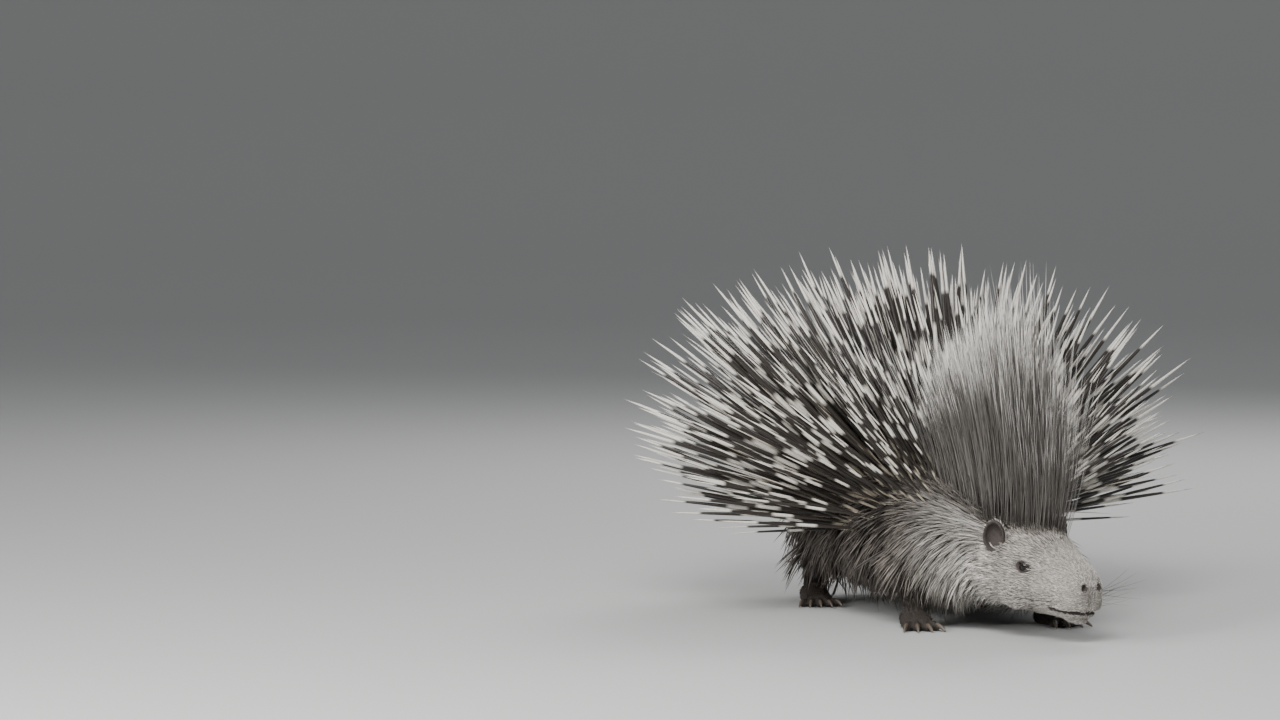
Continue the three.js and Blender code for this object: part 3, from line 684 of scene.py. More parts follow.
# Markings, from 0 to 1: the pale band that runs up both sides of the throat, the paler nape, snout and
# cheeks, and the dark ground under the crest.
PALE = {"face": 0.25, "snout": 0.5, "cheeks": 0.3, "nape": 0.5, "under crest": 0.9}
throat = bump(along + 22, 15) * fade(up, -18, 12) * (1 - legs)
face = PALE["face"] + PALE["snout"] * smooth(along, 60, 118)
face = face + PALE["cheeks"] * smooth(along, 0, 40) * smooth(out, 12, 34)
nape = PALE["nape"] * smooth(x, 90, 205) * (along < 5) * (1 - legs)
pale = np.clip(throat + nape + face * smooth(along, -18, 22), 0, 1)

BARE = {"eye": [10.3, 7.8], "lips": 2.6, "nostril": [8, 4.6, 5], "ear": 22, "sole": 2.5}
AWAY = 9  # added to a gap where the feature isn't there at all
eye_gap = off_eye(along, up, BARE["eye"]) + (out < 25) * AWAY
mouth_gap = np.abs(up - mouth_line(along)) / BARE["lips"] + (along < MOUTH["corner"]) * AWAY
nostril_gap = gap_to(NOSTRIL["at"], along, left, up, BARE["nostril"])
ear_gap = gap_to(EAR["at"], along, left, up) / BARE["ear"]
ear_out = np.where(left[:, None] < 0, on_side(EAR["open"], -1), EAR["open"]) @ SKULL_AXES
in_ear = (ear_gap < 1.1) & (reach > 1.0) & ((normals * ear_out).sum(1) > -0.25) | (ear_gap < 0.6)
fur *= 1 - 0.6 * bump(ear_gap, 1)
bare = (eye_gap < 1) | (mouth_gap < 1) | (nostril_gap < 1) | in_ear | (height < BARE["sole"])
haired = 1.0 - bare
head = smooth(along, -28, -14)

QUILLED = {"from": 128, "to": -306, "flank": radians(104), "narrow": 0.6}
CRESTED = {"from": 276, "to": 112, "spread": radians(46), "narrow": 0.62}
back_share = (QUILLED["from"] - x) / (QUILLED["from"] - QUILLED["to"])
crest_share = (CRESTED["from"] - x) / (CRESTED["from"] - CRESTED["to"])
crest_spread = CRESTED["spread"] * mix(CRESTED["narrow"], 1, smooth(crest_share, 0, 0.35))
quill_flank = QUILLED["flank"] * mix(QUILLED["narrow"], 1, smooth(back_share, 0, 0.36))
on_back = (back_share > 0) & (back_share < 1.01) & (turn < quill_flank) & (reach < 1.08) & (on_tail < 1)
on_crest = (crest_share > 0) & (crest_share < 1) & (turn < crest_spread) & (reach < 1.06)
under_crest = PALE["under crest"] * smooth(crest_share, -0.06, 0.06)
pale *= 1 - under_crest * smooth(crest_spread - turn, -0.12, 0.06) * (along < 80)

# The unwrap of the skin's own shape, on which each tuft has its own small patch: trunk and head below, and
# in a strip above them the four legs and the tail.
unwrap = np.stack([0.02 + 0.96 * t, 0.03 + 0.62 * (angle / (2 * pi) + 0.5)], 1)
round_leg = np.arctan2(normals[:, 1], normals[:, 0]) / (2 * pi) + 0.5
round_tail = np.arctan2(normals[:, 1], normals[:, 2]) / (2 * pi) + 0.5
leg_at = np.stack([0.03 + 0.19 * leg_number + 0.15 * round_leg, 0.7 + 0.26 * leg_share], 1)
tail_at = np.stack([0.8 + 0.16 * round_tail, 0.7 + 0.26 * np.clip(along_tail / TAIL["length"], 0, 1)], 1)
unwrap = np.where(legs[:, None] > 0, leg_at, np.where(on_tail[:, None] > 0, tail_at, unwrap))


def keep_on(mesh, name, values):
    """Stores a number or a vector for each point of a mesh."""
    kind = "FLOAT" if np.ndim(values) == 1 else "FLOAT_VECTOR"
    stored = mesh.attributes.new(name, kind, "POINT")
    stored.data.foreach_set("value" if kind == "FLOAT" else "vector", np.asarray(values, np.float32).ravel())


ON_SKIN = {
    "pale": pale, "lie": lie, "fur way": way, "fur length": fur * MM,
    "unwrap": np.column_stack([unwrap, 0 * t]),
    "on cheeks": head * haired * fade(along, 66, 86), "on snout": haired * smooth(along, 54, 76),
    "on neck": (1 - head) * (x > 88) * (1 - legs) * haired,
    "on body": (x <= 88) * (1 - legs) * (1 - on_tail), "on legs": legs * haired, "on tail": on_tail,
    "on back": on_back.astype(float), "on crest": on_crest.astype(float), "bare": bare.astype(float),
}
for name, values in ON_SKIN.items():
    keep_on(skin.data, name, values)

# The growth of fur, bristles and quills: tufts stand over the skin at least so far apart, lean the way that
# the skin gives, bend back along it, and are then made plain mesh.
LOWEST = (-9, -9, 0.8 * MM)  # no tuft reaches below this height


def new_tree(kind, name, inputs, outputs):
    """A node tree with these sockets, and what comes in through them."""
    tree = bpy.data.node_groups.new(name, kind)
    for end, sockets in (("INPUT", inputs), ("OUTPUT", outputs)):
        for key, socket in sockets.items():
            tree.interface.new_socket(key, in_out=end, socket_type="NodeSocket" + socket)
    return tree, tree.nodes.new("NodeGroupInput").outputs


def growth_tree():
    inputs = {
        "Skin": "Geometry", "Tufts": "Collection", "Material": "Material", "Spacing": "Float",
        "Most": "Float", "Where": "String", "Way": "String", "Length": "String", "Stray": "Float",
        "Vary": "Float", "Stout": "Float", "Sunk": "Float", "Patch": "Vector", "Seed": "Int",
    }
    tree, given = new_tree("GeometryNodeTree", "growth", inputs, {"Coat": "Geometry"})
    tree.is_modifier = True

    def read(name, kind):
        return add_node(tree, "GeometryNodeInputNamedAttribute", {"Name": name}, "Attribute", data_type=kind)

    def store(geometry, name, value, **settings):
        inputs = {"Geometry": geometry, "Name": name, "Value": value}
        return add_node(tree, "GeometryNodeStoreNamedAttribute", inputs, **settings)

    def vector(operation, *inputs, **scale):
        inputs = {**dict(enumerate(inputs)), **scale}
        return add_node(tree, "ShaderNodeVectorMath", inputs, operation=operation)

    def number(operation, *inputs):
        return add_node(tree, "ShaderNodeMath", dict(enumerate(inputs)), operation=operation)

    def chance(kind, seed_step, low, high):
        first = {"FLOAT_VECTOR": 0, "FLOAT": 2, "INT": 4}[kind]
        inputs = {first: low, first + 1: high, "Seed": number("ADD", given["Seed"], seed_step)}
        return add_node(tree, "FunctionNodeRandomValue", inputs, first // 2, data_type=kind)

    spread = {
        "Mesh": given["Skin"], "Distance Min": given["Spacing"], "Density Max": given["Most"],
        "Density Factor": read(given["Where"], "FLOAT"), "Seed": given["Seed"],
    }
    roots = add_node(tree, "GeometryNodeDistributePointsOnFaces", spread, distribute_method="POISSON")
    stray = vector("SCALE", chance("FLOAT_VECTOR", 1, (-1, -1, -1), (1, 1, 1)), Scale=given["Stray"])
    way = vector("NORMALIZE", vector("ADD", read(given["Way"], "FLOAT_VECTOR"), stray))
    varied = number("MULTIPLY_ADD", chance("FLOAT", 2, -1.0, 1.0), given["Vary"], 1.0)
    length = number("MULTIPLY", read(given["Length"], "FLOAT"), varied)
    width = number("MULTIPLY", length, given["Stout"])
    axes = {"Primary Axis": way, "Secondary Axis": read("lie", "FLOAT_VECTOR")}
    sunk = vector("SCALE", way, Scale=number("MULTIPLY", given["Sunk"], -1.0))
    marked = store(roots, "seed", chance("FLOAT", 3, 0.0, 1.0), data_type="FLOAT", domain="POINT")
    tufts = {"Collection": given["Tufts"], "Separate Children": True, "Reset Children": True}
    planted = {
        "Points": add_node(tree, "GeometryNodeSetPosition", {"Geometry": marked, "Offset": sunk}),
        "Instance": add_node(tree, "GeometryNodeCollectionInfo", tufts),
        "Pick Instance": True, "Instance Index": chance("INT", 4, 0, 63),
        "Rotation": add_node(tree, "FunctionNodeAxesToRotation", axes, primary_axis="Z", secondary_axis="X"),
        "Scale": add_node(tree, "ShaderNodeCombineXYZ", {0: width, 1: width, 2: length}),
    }
    grown = add_node(tree, "GeometryNodeInstanceOnPoints", planted)
    grown = add_node(tree, "GeometryNodeRealizeInstances", {"Geometry": grown})
    lifted = vector("MAXIMUM", add_node(tree, "GeometryNodeInputPosition", {}), LOWEST)
    grown = add_node(tree, "GeometryNodeSetPosition", {"Geometry": grown, "Position": lifted})
    patch = vector("MULTIPLY", read("patch", "FLOAT_VECTOR"), given["Patch"])
    patch = vector("ADD", read("unwrap", "FLOAT_VECTOR"), patch)
    grown = store(grown, "OFBake", patch, data_type="FLOAT2", domain="CORNER")
    grown = add_node(tree, "GeometryNodeSetMaterial", {"Geometry": grown, "Material": given["Material"]})
    feed(tree.nodes.new("NodeGroupOutput"), {"Coat": grown})
    return tree


growth = growth_tree()
CARRIED = {"seed", "along", "pale", "OFBake"}


def grow(name, tufts, material, slot, **inputs):
    """A piece of the coat, grown on the skin from tuft shapes: as fur, unless the inputs say otherwise."""
    inputs = {"Way": "fur way", "Length": "fur length", "Patch": (0.003, 0.003, 0), **inputs}
    inputs.update({"Tufts": tufts, "Material": material})
    for shape in tufts.objects:
        shape.data.materials.append(material)
    made = placed(name, skin.data)
    modifier = made.modifiers.new("growth", "NODES")
    modifier.node_group = growth
    for item in growth.interface.items_tree:
        if item.in_out == "INPUT" and item.name in inputs:
            modifier[item.identifier] = inputs[item.name]
    mesh = settled(made).data
    for key in [a.name for a in mesh.attributes if not a.is_internal and not a.is_required]:
        if key not in CARRIED and not key.startswith("sharp"):
            mesh.attributes.remove(mesh.attributes[key])
    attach(made, "root")
    for shape in list(tufts.objects):
        bpy.data.meshes.remove(shape.data)
    bpy.data.collections.remove(tufts)


def tuft_shapes(profile, seed, bend, spread=0, kinds=4, blades=3, sides=3, flat=0.45, thick=1):
    """Tufts of unit length that grow up from the origin and bend ahead. The profile holds, for each ring, its
    place along the tuft and its half width. Bend and spread are measured across the tuft, as the width is."""
    random = np.random.default_rng(seed)
    shapes = bpy.data.collections.new("tuft shapes")
    for _ in range(kinds):
        points, faces, along, patch = [], [], [], []
        for blade in range(blades):
            heading = 2 * pi * (blade + random.uniform(0, 0.7)) / blades
            lean = np.array([cos(heading), sin(heading)]) * spread * random.uniform(0.5, 1) * (blades > 1)
            grown = random.uniform(0.72, 1) if blade else 1.0
            curl = bend * random.uniform(0.5, 1.5)
            twist = random.uniform(0, pi)
            first = len(points)
            for share, half in profile:
                centre = lean * share ** 1.3 + [curl * share ** 2, 0]
                for k in range(sides):
                    turn = 2 * pi * k / sides
                    a, b = half * thick * cos(turn), half * thick * flat * sin(turn)
                    across = [a * cos(twist) - b * sin(twist), a * sin(twist) + b * cos(twist)]
                    points.append([centre[0] + across[0], centre[1] + across[1], share * grown])
                    along.append(share)
                    patch.append([0.5 * cos(turn), share - 0.5, 0])
            points.append([lean[0] + curl, lean[1], grown])
            along.append(1)
            patch.append([0, 0.5, 0])
            tip = len(points) - 1
            for ring in range(len(profile) - 1):
                a = first + ring * sides
                for k in range(sides):
                    n = (k + 1) % sides
                    faces.append((a + k, a + n, a + sides + n, a + sides + k))
            a = first + (len(profile) - 1) * sides
            faces += [(a + k, a + (k + 1) % sides, tip) for k in range(sides)]
            faces.append(tuple(first + k for k in reversed(range(sides))))
        mesh = bpy.data.meshes.new("tuft")
        mesh.from_pydata(points, [], faces)
        mesh.shade_smooth()
        keep_on(mesh, "along", np.array(along))
        keep_on(mesh, "patch", np.array(patch))
        shapes.objects.link(bpy.data.objects.new("tuft", mesh))
    return shapes


# The finish of hair: its colour runs from the root to the tip, differs a little from tuft to tuft, and turns
# pale where the markings say so.
def hair_colour():
    inputs = {"Root": "Color", "Tip": "Color", "Pale": "Color", "Tip Start": "Float", "Variation": "Float"}
    tree, given = new_tree("ShaderNodeTree", "hair colour", inputs, {"Color": "Color"})
    reach = {"Value": attribute(tree, "along"), "From Min": given["Tip Start"], "From Max": 0.9}
    share = add_node(tree, "ShaderNodeMapRange", reach, "Result", interpolation_type="SMOOTHSTEP")
    ran = blended(tree, share, given["Root"], given["Tip"])
    ran = blended(tree, attribute(tree, "pale"), ran, given["Pale"])
    bright = {"Value": attribute(tree, "seed")}
    for end, operation in (("To Min", "SUBTRACT"), ("To Max", "ADD")):
        bright[end] = add_node(tree, "ShaderNodeMath", {0: 1.0, 1: given["Variation"]}, operation=operation)
    bright = add_node(tree, "ShaderNodeMapRange", bright, "Result")
    grey = add_node(tree, "ShaderNodeCombineColor", {0: bright, 1: bright, 2: bright})
    feed(tree.nodes.new("NodeGroupOutput"), {"Color": blended(tree, 1.0, ran, grey, "MULTIPLY")})
    return tree


HAIR = hair_colour()


def hair_finish(name, root, tip, pale, tip_start, variation, roughness=0.55):
    material, tree, shader = finish(name, roughness)
    colours = {"Root": (*root, 1), "Tip": (*tip, 1), "Pale": (*pale, 1)}
    inputs = {**colours, "Tip Start": tip_start, "Variation": variation}
    feed(shader, {"Base Color": add_node(tree, "ShaderNodeGroup", inputs, "Color", node_tree=HAIR)})
    return material


# Face fur
# Short greyish brown hair that lies back from the snout over the whole head, shortest on the muzzle and round
# the eyes, and paler on the snout. It grows from the skin in small tufts, closest on the snout.
face_hair = hair_finish("face hair", (0.24, 0.21, 0.18), (0.6, 0.555, 0.5), (0.74, 0.7, 0.65), 0.1, 0.4)
SHORT_HAIR = [(0, 0.062), (0.45, 0.05)]
grow("face_fur", tuft_shapes(SHORT_HAIR, 21, bend=0.16, spread=0.14), face_hair, "face", Where="on cheeks",
     Spacing=1.75 * MM, Most=480000.0, Stray=0.16, Vary=0.25, Stout=0.8, Sunk=0.4 * MM, Seed=1)
grow("snout_fur", tuft_shapes(SHORT_HAIR, 31, bend=0.2, spread=0.3), face_hair, "face", Where="on snout",
     Spacing=1.15 * MM, Most=1200000.0, Stray=0.2, Vary=0.3, Stout=0.85, Sunk=0.3 * MM, Seed=10)

# Neck fur
# Coarser hair over the nape, the throat and the shoulders, dark with lighter tips, and with the pale band of
# the throat. It hangs from the skin of the throat in a fringe.
neck_hair = hair_finish("neck hair", (0.04, 0.033, 0.028), (0.25, 0.22, 0.19), (0.8, 0.77, 0.72), 0.2, 0.5)
LONG_HAIR = [(0, 0.02), (0.3, 0.022), (0.7, 0.015)]
neck_tufts = tuft_shapes(LONG_HAIR, 22, bend=0.16, spread=0.14, kinds=5, flat=0.5)
grow("neck_fur", neck_tufts, neck_hair, "bristles", Where="on neck",
     Spacing=2.9 * MM, Most=170000.0, Stray=0.2, Vary=0.3, Stout=0.8, Sunk=1.5 * MM, Seed=2)

# Body bristles
# Flattened dark bristles cover the trunk under the quills and hang along the flanks and the belly. They grow
# from the skin in loose bunches.
body_hair = hair_finish(
    "body bristles", (0.03, 0.025, 0.021), (0.17, 0.145, 0.125), (0.3, 0.27, 0.23), 0.3, 0.5)
body_tufts = tuft_shapes(LONG_HAIR, 23, bend=0.18, spread=0.2, kinds=5, flat=0.5)
grow("body_bristles", body_tufts, body_hair, "bristles", Where="on body",
     Spacing=5.6 * MM, Most=56000.0, Stray=0.22, Vary=0.35, Stout=0.85, Sunk=2 * MM, Seed=3)

# Leg and tail fur
# Short dark hair down the legs to the toes, and longer hair round the root of the tail. Both grow from the
# skin in small tufts.
leg_hair = hair_finish("leg hair", (0.025, 0.02, 0.017), (0.1, 0.082, 0.07), (0.2, 0.18, 0.15), 0.3, 0.5)
grow("leg_fur", tuft_shapes(SHORT_HAIR, 24, bend=0.16, spread=0.16), leg_hair, "bristles", Where="on legs",
     Spacing=2.6 * MM, Most=260000.0, Stray=0.18, Vary=0.3, Stout=0.8, Sunk=0.5 * MM, Seed=4)
tail_tufts = tuft_shapes(LONG_HAIR, 25, bend=0.2, spread=0.2, flat=0.5)
grow("tail_fur", tail_tufts, leg_hair, "bristles", Where="on tail",
     Spacing=3.4 * MM, Most=140000.0, Stray=0.22, Vary=0.3, Stout=1.6, Sunk=1 * MM, Seed=5)

# Quills
# Stiff tapering spines of keratin, banded dark and pale with white ends, raised over the back and both
# flanks. Each grows singly out of the skin, and long slender ones stand between the stout ones.
QUILL = {
    "longest": 250, "at shoulder": 0.55, "at rump": 0.62, "low": 0.78, "radius": 2.7, "slender": 0.0042,
    "lean top": radians(53), "lean flank": radians(20), "lean shoulder": 0.6,
    "lift top": 0.05, "lift flank": 0.34,
}
share = np.clip(back_share, 0, 1)
down = turn / QUILLED["flank"]
lean = mix(QUILL["lean top"], QUILL["lean flank"], smooth(down, 0.1, 0.8))
lean = lean * mix(QUILL["lean shoulder"], 1, share)
outward = way_on_body(t, angle)
quill_way = outward * np.cos(lean)[:, None] - AHEAD * np.sin(lean)[:, None]
quill_way = unit(quill_way + UP * mix(QUILL["lift top"], QUILL["lift flank"], smooth(down, 0.2, 1))[:, None])
quill_length = QUILL["longest"] * MM * mix(QUILL["at shoulder"], 1, smooth(share, 0, 0.34))
quill_length *= mix(1, QUILL["at rump"], smooth(share, 0.62, 1)) * mix(1, QUILL["low"], smooth(down, 0.7, 1))
keep_on(skin.data, "quill way", quill_way)
keep_on(skin.data, "quill length", quill_length)


def horn_grain():
    """The fine grain of keratin: a colour that changes with it, and its height."""
    inputs = {"Scale": "Float", "Detail": "Float", "Light": "Color", "Dark": "Color"}
    tree, given = new_tree("ShaderNodeTree", "horn grain", inputs, {"Color": "Color", "Height": "Float"})
    ridges = noise(tree, given["Scale"], given["Detail"])
    outputs = {"Color": blended(tree, ridges, given["Light"], given["Dark"]), "Height": ridges}
    feed(tree.nodes.new("NodeGroupOutput"), outputs)
    return tree


HORN_GRAIN = horn_grain()


def grained(tree, scale, detail, light, dark):
    inputs = {"Scale": scale, "Detail": detail, "Light": (*light, 1), "Dark": (*dark, 1)}
    return add_node(tree, "ShaderNodeGroup", inputs, "Color", node_tree=HORN_GRAIN)


def quill_finish(name, bands):
    """Keratin coloured by the place along the quill, in bands that differ a little from quill to quill."""
    material, tree, shader = finish(name, 0.34, 0.5, 0.15)
    moved = {0: attribute(tree, "seed"), 1: 0.13, 2: attribute(tree, "along")}
    moved = add_node(tree, "ShaderNodeMath", moved, operation="MULTIPLY_ADD")
    banded = add_node(tree, "ShaderNodeValToRGB", {"Fac": moved})
    stops = banded.node.color_ramp.elements
    stops.remove(stops[1])
    for number, (place, colour) in enumerate(bands):
        stop = stops[0] if number == 0 else stops.new(place)
        stop.position, stop.color = place, (*colour, 1)
    tint = grained(tree, 260.0, 3.0, (1, 1, 1), (0.72, 0.68, 0.62))
    height = tint.node.outputs["Height"]
    relief = add_node(tree, "ShaderNodeBump", {"Height": height, "Strength": 0.25, "Distance": 0.0004})
    colour = blended(tree, 1.0, banded, tint, "MULTIPLY")
    feed(shader, {"Base Color": colour, "Normal": relief, "Coat Roughness": 0.3})
    return material


WHITE, CREAM, HORN, BLACK = (0.83, 0.8, 0.74), (0.62, 0.56, 0.46), (0.12, 0.09, 0.066), (0.03, 0.024, 0.02)
STOUT_BANDS = [(0, CREAM), (0.17, CREAM), (0.21, BLACK), (0.48, BLACK), (0.51, WHITE), (0.6, WHITE),
               (0.63, BLACK), (0.86, BLACK), (0.885, WHITE), (1, WHITE)]
SLENDER_BANDS = [(0, CREAM), (0.2, CREAM), (0.26, HORN), (0.55, BLACK), (0.62, CREAM), (1, WHITE)]
SPINE = [(0, 0.45), (0.05, 0.7), (0.22, 1), (0.55, 1), (0.76, 0.8), (0.92, 0.42)]
raised = {"Where": "on back", "Way": "quill way", "Length": "quill length", "Stout": 1.0, "Sunk": 6 * MM,
          "Patch": (0.003, 0.009, 0)}
stout = tuft_shapes(SPINE, 26, bend=0.03, kinds=6, blades=1, sides=6, flat=1,
                    thick=QUILL["radius"] / QUILL["longest"])
grow("quills", stout, quill_finish("banded quill", STOUT_BANDS), "quills",
     Spacing=8.6 * MM, Most=40000.0, Stray=0.14, Vary=0.21, Seed=6, **raised)
slender = tuft_shapes(SPINE, 27, bend=0.1, kinds=6, blades=1, sides=4, flat=1, thick=QUILL["slender"])
grow("slender_quills", slender, quill_finish("slender quill", SLENDER_BANDS), "quills",
     Spacing=26 * MM, Most=6000.0, Stray=0.16, Vary=0.1, Seed=7, **raised)

# Crest
# Long stiff bristles on the crown, the nape and the shoulders, dark below with greyish white ends. They grow
# singly out of the skin, rise together, curve back and fall open to the animal's left.
CREST = {
    "longest": 325, "on crown": 0.34, "at shoulders": 0.46, "edge": 0.78, "left": 0.8, "thick": 0.62 / 270,
    "lean crown": -0.2, "lean nape": 0.4, "outward": 0.2, "outward left": 0.5,
}
share = np.clip(crest_share, 0, 1)
spill = smooth(outward[:, 1], 0.15, 0.65)
rise = outward * mix(CREST["outward"], CREST["outward left"], spill)[:, None] + UP
rise -= ahead * mix(CREST["lean crown"], CREST["lean nape"], share)[:, None]
crest_length = CREST["longest"] * MM * mix(CREST["on crown"], 1, smooth(share, 0, 0.34))
crest_length = crest_length * mix(1, CREST["at shoulders"], share)
edge = mix(1, CREST["edge"], np.clip(turn / CRESTED["spread"], 0, 1))
keep_on(skin.data, "crest way", unit(rise))
keep_on(skin.data, "crest length", crest_length * (edge * mix(1, CREST["left"], spill)))
DARK_BASE, PALE_END = (0.095, 0.084, 0.074), (0.8, 0.77, 0.72)
crest_hair = hair_finish("crest bristles", DARK_BASE, PALE_END, PALE_END, 0.72, 0.3, roughness=0.45)
BRISTLE = [(0, 1), (0.2, 1), (0.4, 0.9), (0.58, 0.75), (0.76, 0.55), (0.9, 0.35)]
crest = tuft_shapes(BRISTLE, 28, bend=0.1, kinds=8, blades=1, flat=1, thick=CREST["thick"])
grow("crest", crest, crest_hair, "crest", Where="on crest", Way="crest way", Length="crest length",
     Spacing=2.0 * MM, Most=280000.0, Stray=0.09, Vary=0.2, Stout=1.0, Sunk=3 * MM, Seed=8)

# Eyes
# Wet, dark eyes that bulge from the sides of the head: a ball with a raised cornea, a dark brown iris and a
# black pupil that is hardly seen. They sit behind the lids and look out and a little ahead.
EYE_RADIUS = 8.3
LOOK = unit(np.array([0.3, 1, 0.1]))
CORNEA = {"rise": 0.5, "inner": 0.35, "outer": 0.85}  # the angles off the gaze are in radians
PUPIL, IRIS, EYE_EDGE = (0.002, 0.002, 0.002, 1), (0.03, 0.014, 0.007, 1), (0.008, 0.006, 0.005, 1)
IRIS_FROM, EDGE_FROM = (0.4, 0.5), (0.8, 1.1)  # the angles off the gaze at which each starts and is full


def eye_finish():
    material, tree, shader = finish("wet eye", 0.04, 0.3, 0.7)
    off_gaze = attribute(tree, "off gaze")
    colour = PUPIL
    for (low, high), outer in ((IRIS_FROM, IRIS), (EDGE_FROM, EYE_EDGE)):
        reached = {"Value": off_gaze, "From Min": low, "From Max": high}
        colour = blended(tree, add_node(tree, "ShaderNodeMapRange", reached, "Result"), colour, outer)
    feed(shader, {"Base Color": colour, "Coat Roughness": 0.02, "IOR": 1.38})
    return material


wet_eye = eye_finish()
for side, hand in ((-1, "right"), (1, "left")):
    centre = on_skull(on_side(EYE_PLACE, side))
    round_points, faces = ball(centre, [EYE_RADIUS] * 3, steps=48)
    away = unit(round_points - centre)
    off_gaze = np.arccos(np.clip(away @ (on_side(LOOK, side) @ SKULL_AXES), -1, 1))
    rise = CORNEA["rise"] * MM * (1 - smooth(off_gaze, CORNEA["inner"], CORNEA["outer"]))
    eye = mesh_of("eyeball_" + hand, [(round_points + away * rise[:, None], faces)])
    keep_on(eye.data, "off gaze", off_gaze)
    eye.data.materials.append(wet_eye)
    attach(eye, "root")
    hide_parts("eye_" + hand)

# Lid rims
# The moist dark edge of the lids: a thin cord round each opening, drawn out to a corner in front and behind.
# It lies on the eyeball where the skin ends.
LID_RIM = {"radius": 1.0, "away": 9.6, "corner": 1.22, "sharp": 8}


def lid_rim(side, steps=64, sides=8):
    turn = turns(steps)
    reach = 1 + (LID_RIM["corner"] - 1) * np.abs(np.cos(turn)) ** LID_RIM["sharp"]
    along, rise = LID_OPENING[0] * np.cos(turn) * reach, LID_OPENING[1] * np.sin(turn)
    away = np.sqrt(np.maximum(LID_RIM["away"] ** 2 - along ** 2 - rise ** 2, 0))
    line = on_skull(on_side(EYE_PLACE, side) + np.stack([along, side * away, rise], 1))
    way = unit(np.roll(line, -1, 0) - np.roll(line, 1, 0)) * side
    out = unit(line - on_skull(on_side(EYE_PLACE, side)))
    inner = np.cross(way, out)
    points = []
    for k in range(sides):
        angle = 2 * pi * k / sides
        points.append(line + (inner * cos(angle) + out * sin(angle)) * LID_RIM["radius"] * MM)
    faces = []
    for ring in range(steps):
        for k in range(sides):
            a, b, n = ring * sides, (ring + 1) % steps * sides, (k + 1) % sides
            faces.append((a + k, b + k, b + n, a + n)[::-side])
    return np.stack(points, 1).reshape(-1, 3), faces


lid_rims = mesh_of("lid_rims", [lid_rim(-1), lid_rim(1)])
lid_finish, _, lid_shader = finish("moist lid", 0.22, 0.5, 0.6)
feed(lid_shader, {"Base Color": (0.02, 0.014, 0.012, 1)})
lid_rims.data.materials.append(lid_finish)
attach(lid_rims, "root")

# Claws
# Short dark horn claws on four front and five hind toes. Each grows out of the end of its toe and bends down
# to a blunt point at the floor.
CLAW = {
    "heights": [[6.0], [7.4], [5.4], [1.3]],  # in millimetres, from the root to the point
    "root": -0.35, "depth": 1.25, "blunt": 2.4, "tip": 0.02,
}


def claw(root, way, length, radius, count=14, sides=12):
    t = np.linspace(0, 1, count)
    height = on_line(CLAW["heights"], t)[:, 0]
    line = root * [1, 1, 0] + (way * (mix(CLAW["root"], 1, t) * length)[:, None] + UP * height[:, None]) * MM
    taper = np.sqrt(np.clip(1 - t ** CLAW["blunt"], CLAW["tip"], 1))
    size = np.stack([radius * share * taper for share in (1, CLAW["depth"], CLAW["depth"])], 1)
    return stem(line, size * MM, sides, UP)


claw_shells = []
for leg in LEGS:
    for root, way in toe_places(leg):
        claw_shells.append(claw(root + way * leg[0]["toe"][0] * MM, way, *leg[0]["claw"]))
claws = mesh_of("claws", claw_shells)
horn, horn_tree, horn_shader = finish("horn", 0.38, 0.5, 0.2)
horn_tint = grained(horn_tree, 500.0, 4.0, (0.05, 0.04, 0.032), (0.16, 0.13, 0.1))
feed(horn_shader, {"Base Color": horn_tint, "Coat Roughness": 0.3})
claws.data.materials.append(horn)
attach(claws, "root")

# Whiskers
# Long stiff dark hairs that stand out from the pads beside the nose and droop towards their tips. They grow
# singly out of the skin.
on_pads = smooth(along, 88, 96) * fade(along, 118, 124)
on_pads *= smooth(out, 13, 18) * fade(up, -2, 6) * smooth(up, -24, -16)
sideways = np.where(left[:, None] < 0, [0.1, -1, 0.1], [0.1, 1, 0.1]) @ SKULL_AXES
keep_on(skin.data, "on pads", on_pads * haired)
keep_on(skin.data, "whisker way", unit(sideways + normals * 0.3))
keep_on(skin.data, "whisker length", mix(78, 40, smooth(along, 90, 122)) * MM)
WHISKER = [(0, 0.0035), (0.3, 0.003), (0.6, 0.0021), (0.85, 0.0012)]
whisker = tuft_shapes(WHISKER, 29, bend=0.24, kinds=8, blades=1, sides=4, flat=1)
WHISKER_ROOT, WHISKER_TIP = (0.02, 0.017, 0.015), (0.05, 0.042, 0.036)
whisker_hair = hair_finish("whisker", WHISKER_ROOT, WHISKER_TIP, WHISKER_TIP, 0.5, 0.4, roughness=0.5)
grow("whiskers", whisker, whisker_hair, "bristles", Where="on pads", Way="whisker way",
     Length="whisker length", Spacing=4.2 * MM, Most=90000.0, Stray=0.3, Vary=0.3, Stout=1.0, Sunk=1.5 * MM,
     Seed=9)

# Tail quills and rattle
# Short white quills hide the tail. From its end grow hollow ones, open at their ends, on thin stalks, which
# rustle when it shakes.
TAIL_QUILL = 52
white_quill = quill_finish("white quill", [(0, HORN), (0.12, CREAM), (0.4, WHITE), (1, WHITE)])
keep_on(skin.data, "on upper tail", on_tail * smooth(normals[:, 2], -0.7, -0.2))
keep_on(skin.data, "tail quill way", unit(TAIL_WAY + normals * 0.5))
keep_on(skin.data, "tail quill length", TAIL_QUILL * MM * on_tail)
short_white = tuft_shapes(SPINE, 32, bend=0.06, kinds=6, blades=1, sides=5, flat=1, thick=0.03)
grow("tail_quills", short_white, white_quill, "quills", Where="on upper tail", Way="tail quill way",
     Length="tail quill length", Spacing=4.6 * MM, Most=70000.0, Stray=0.22, Vary=0.3, Stout=1.0, Sunk=3 * MM,
     Seed=11)

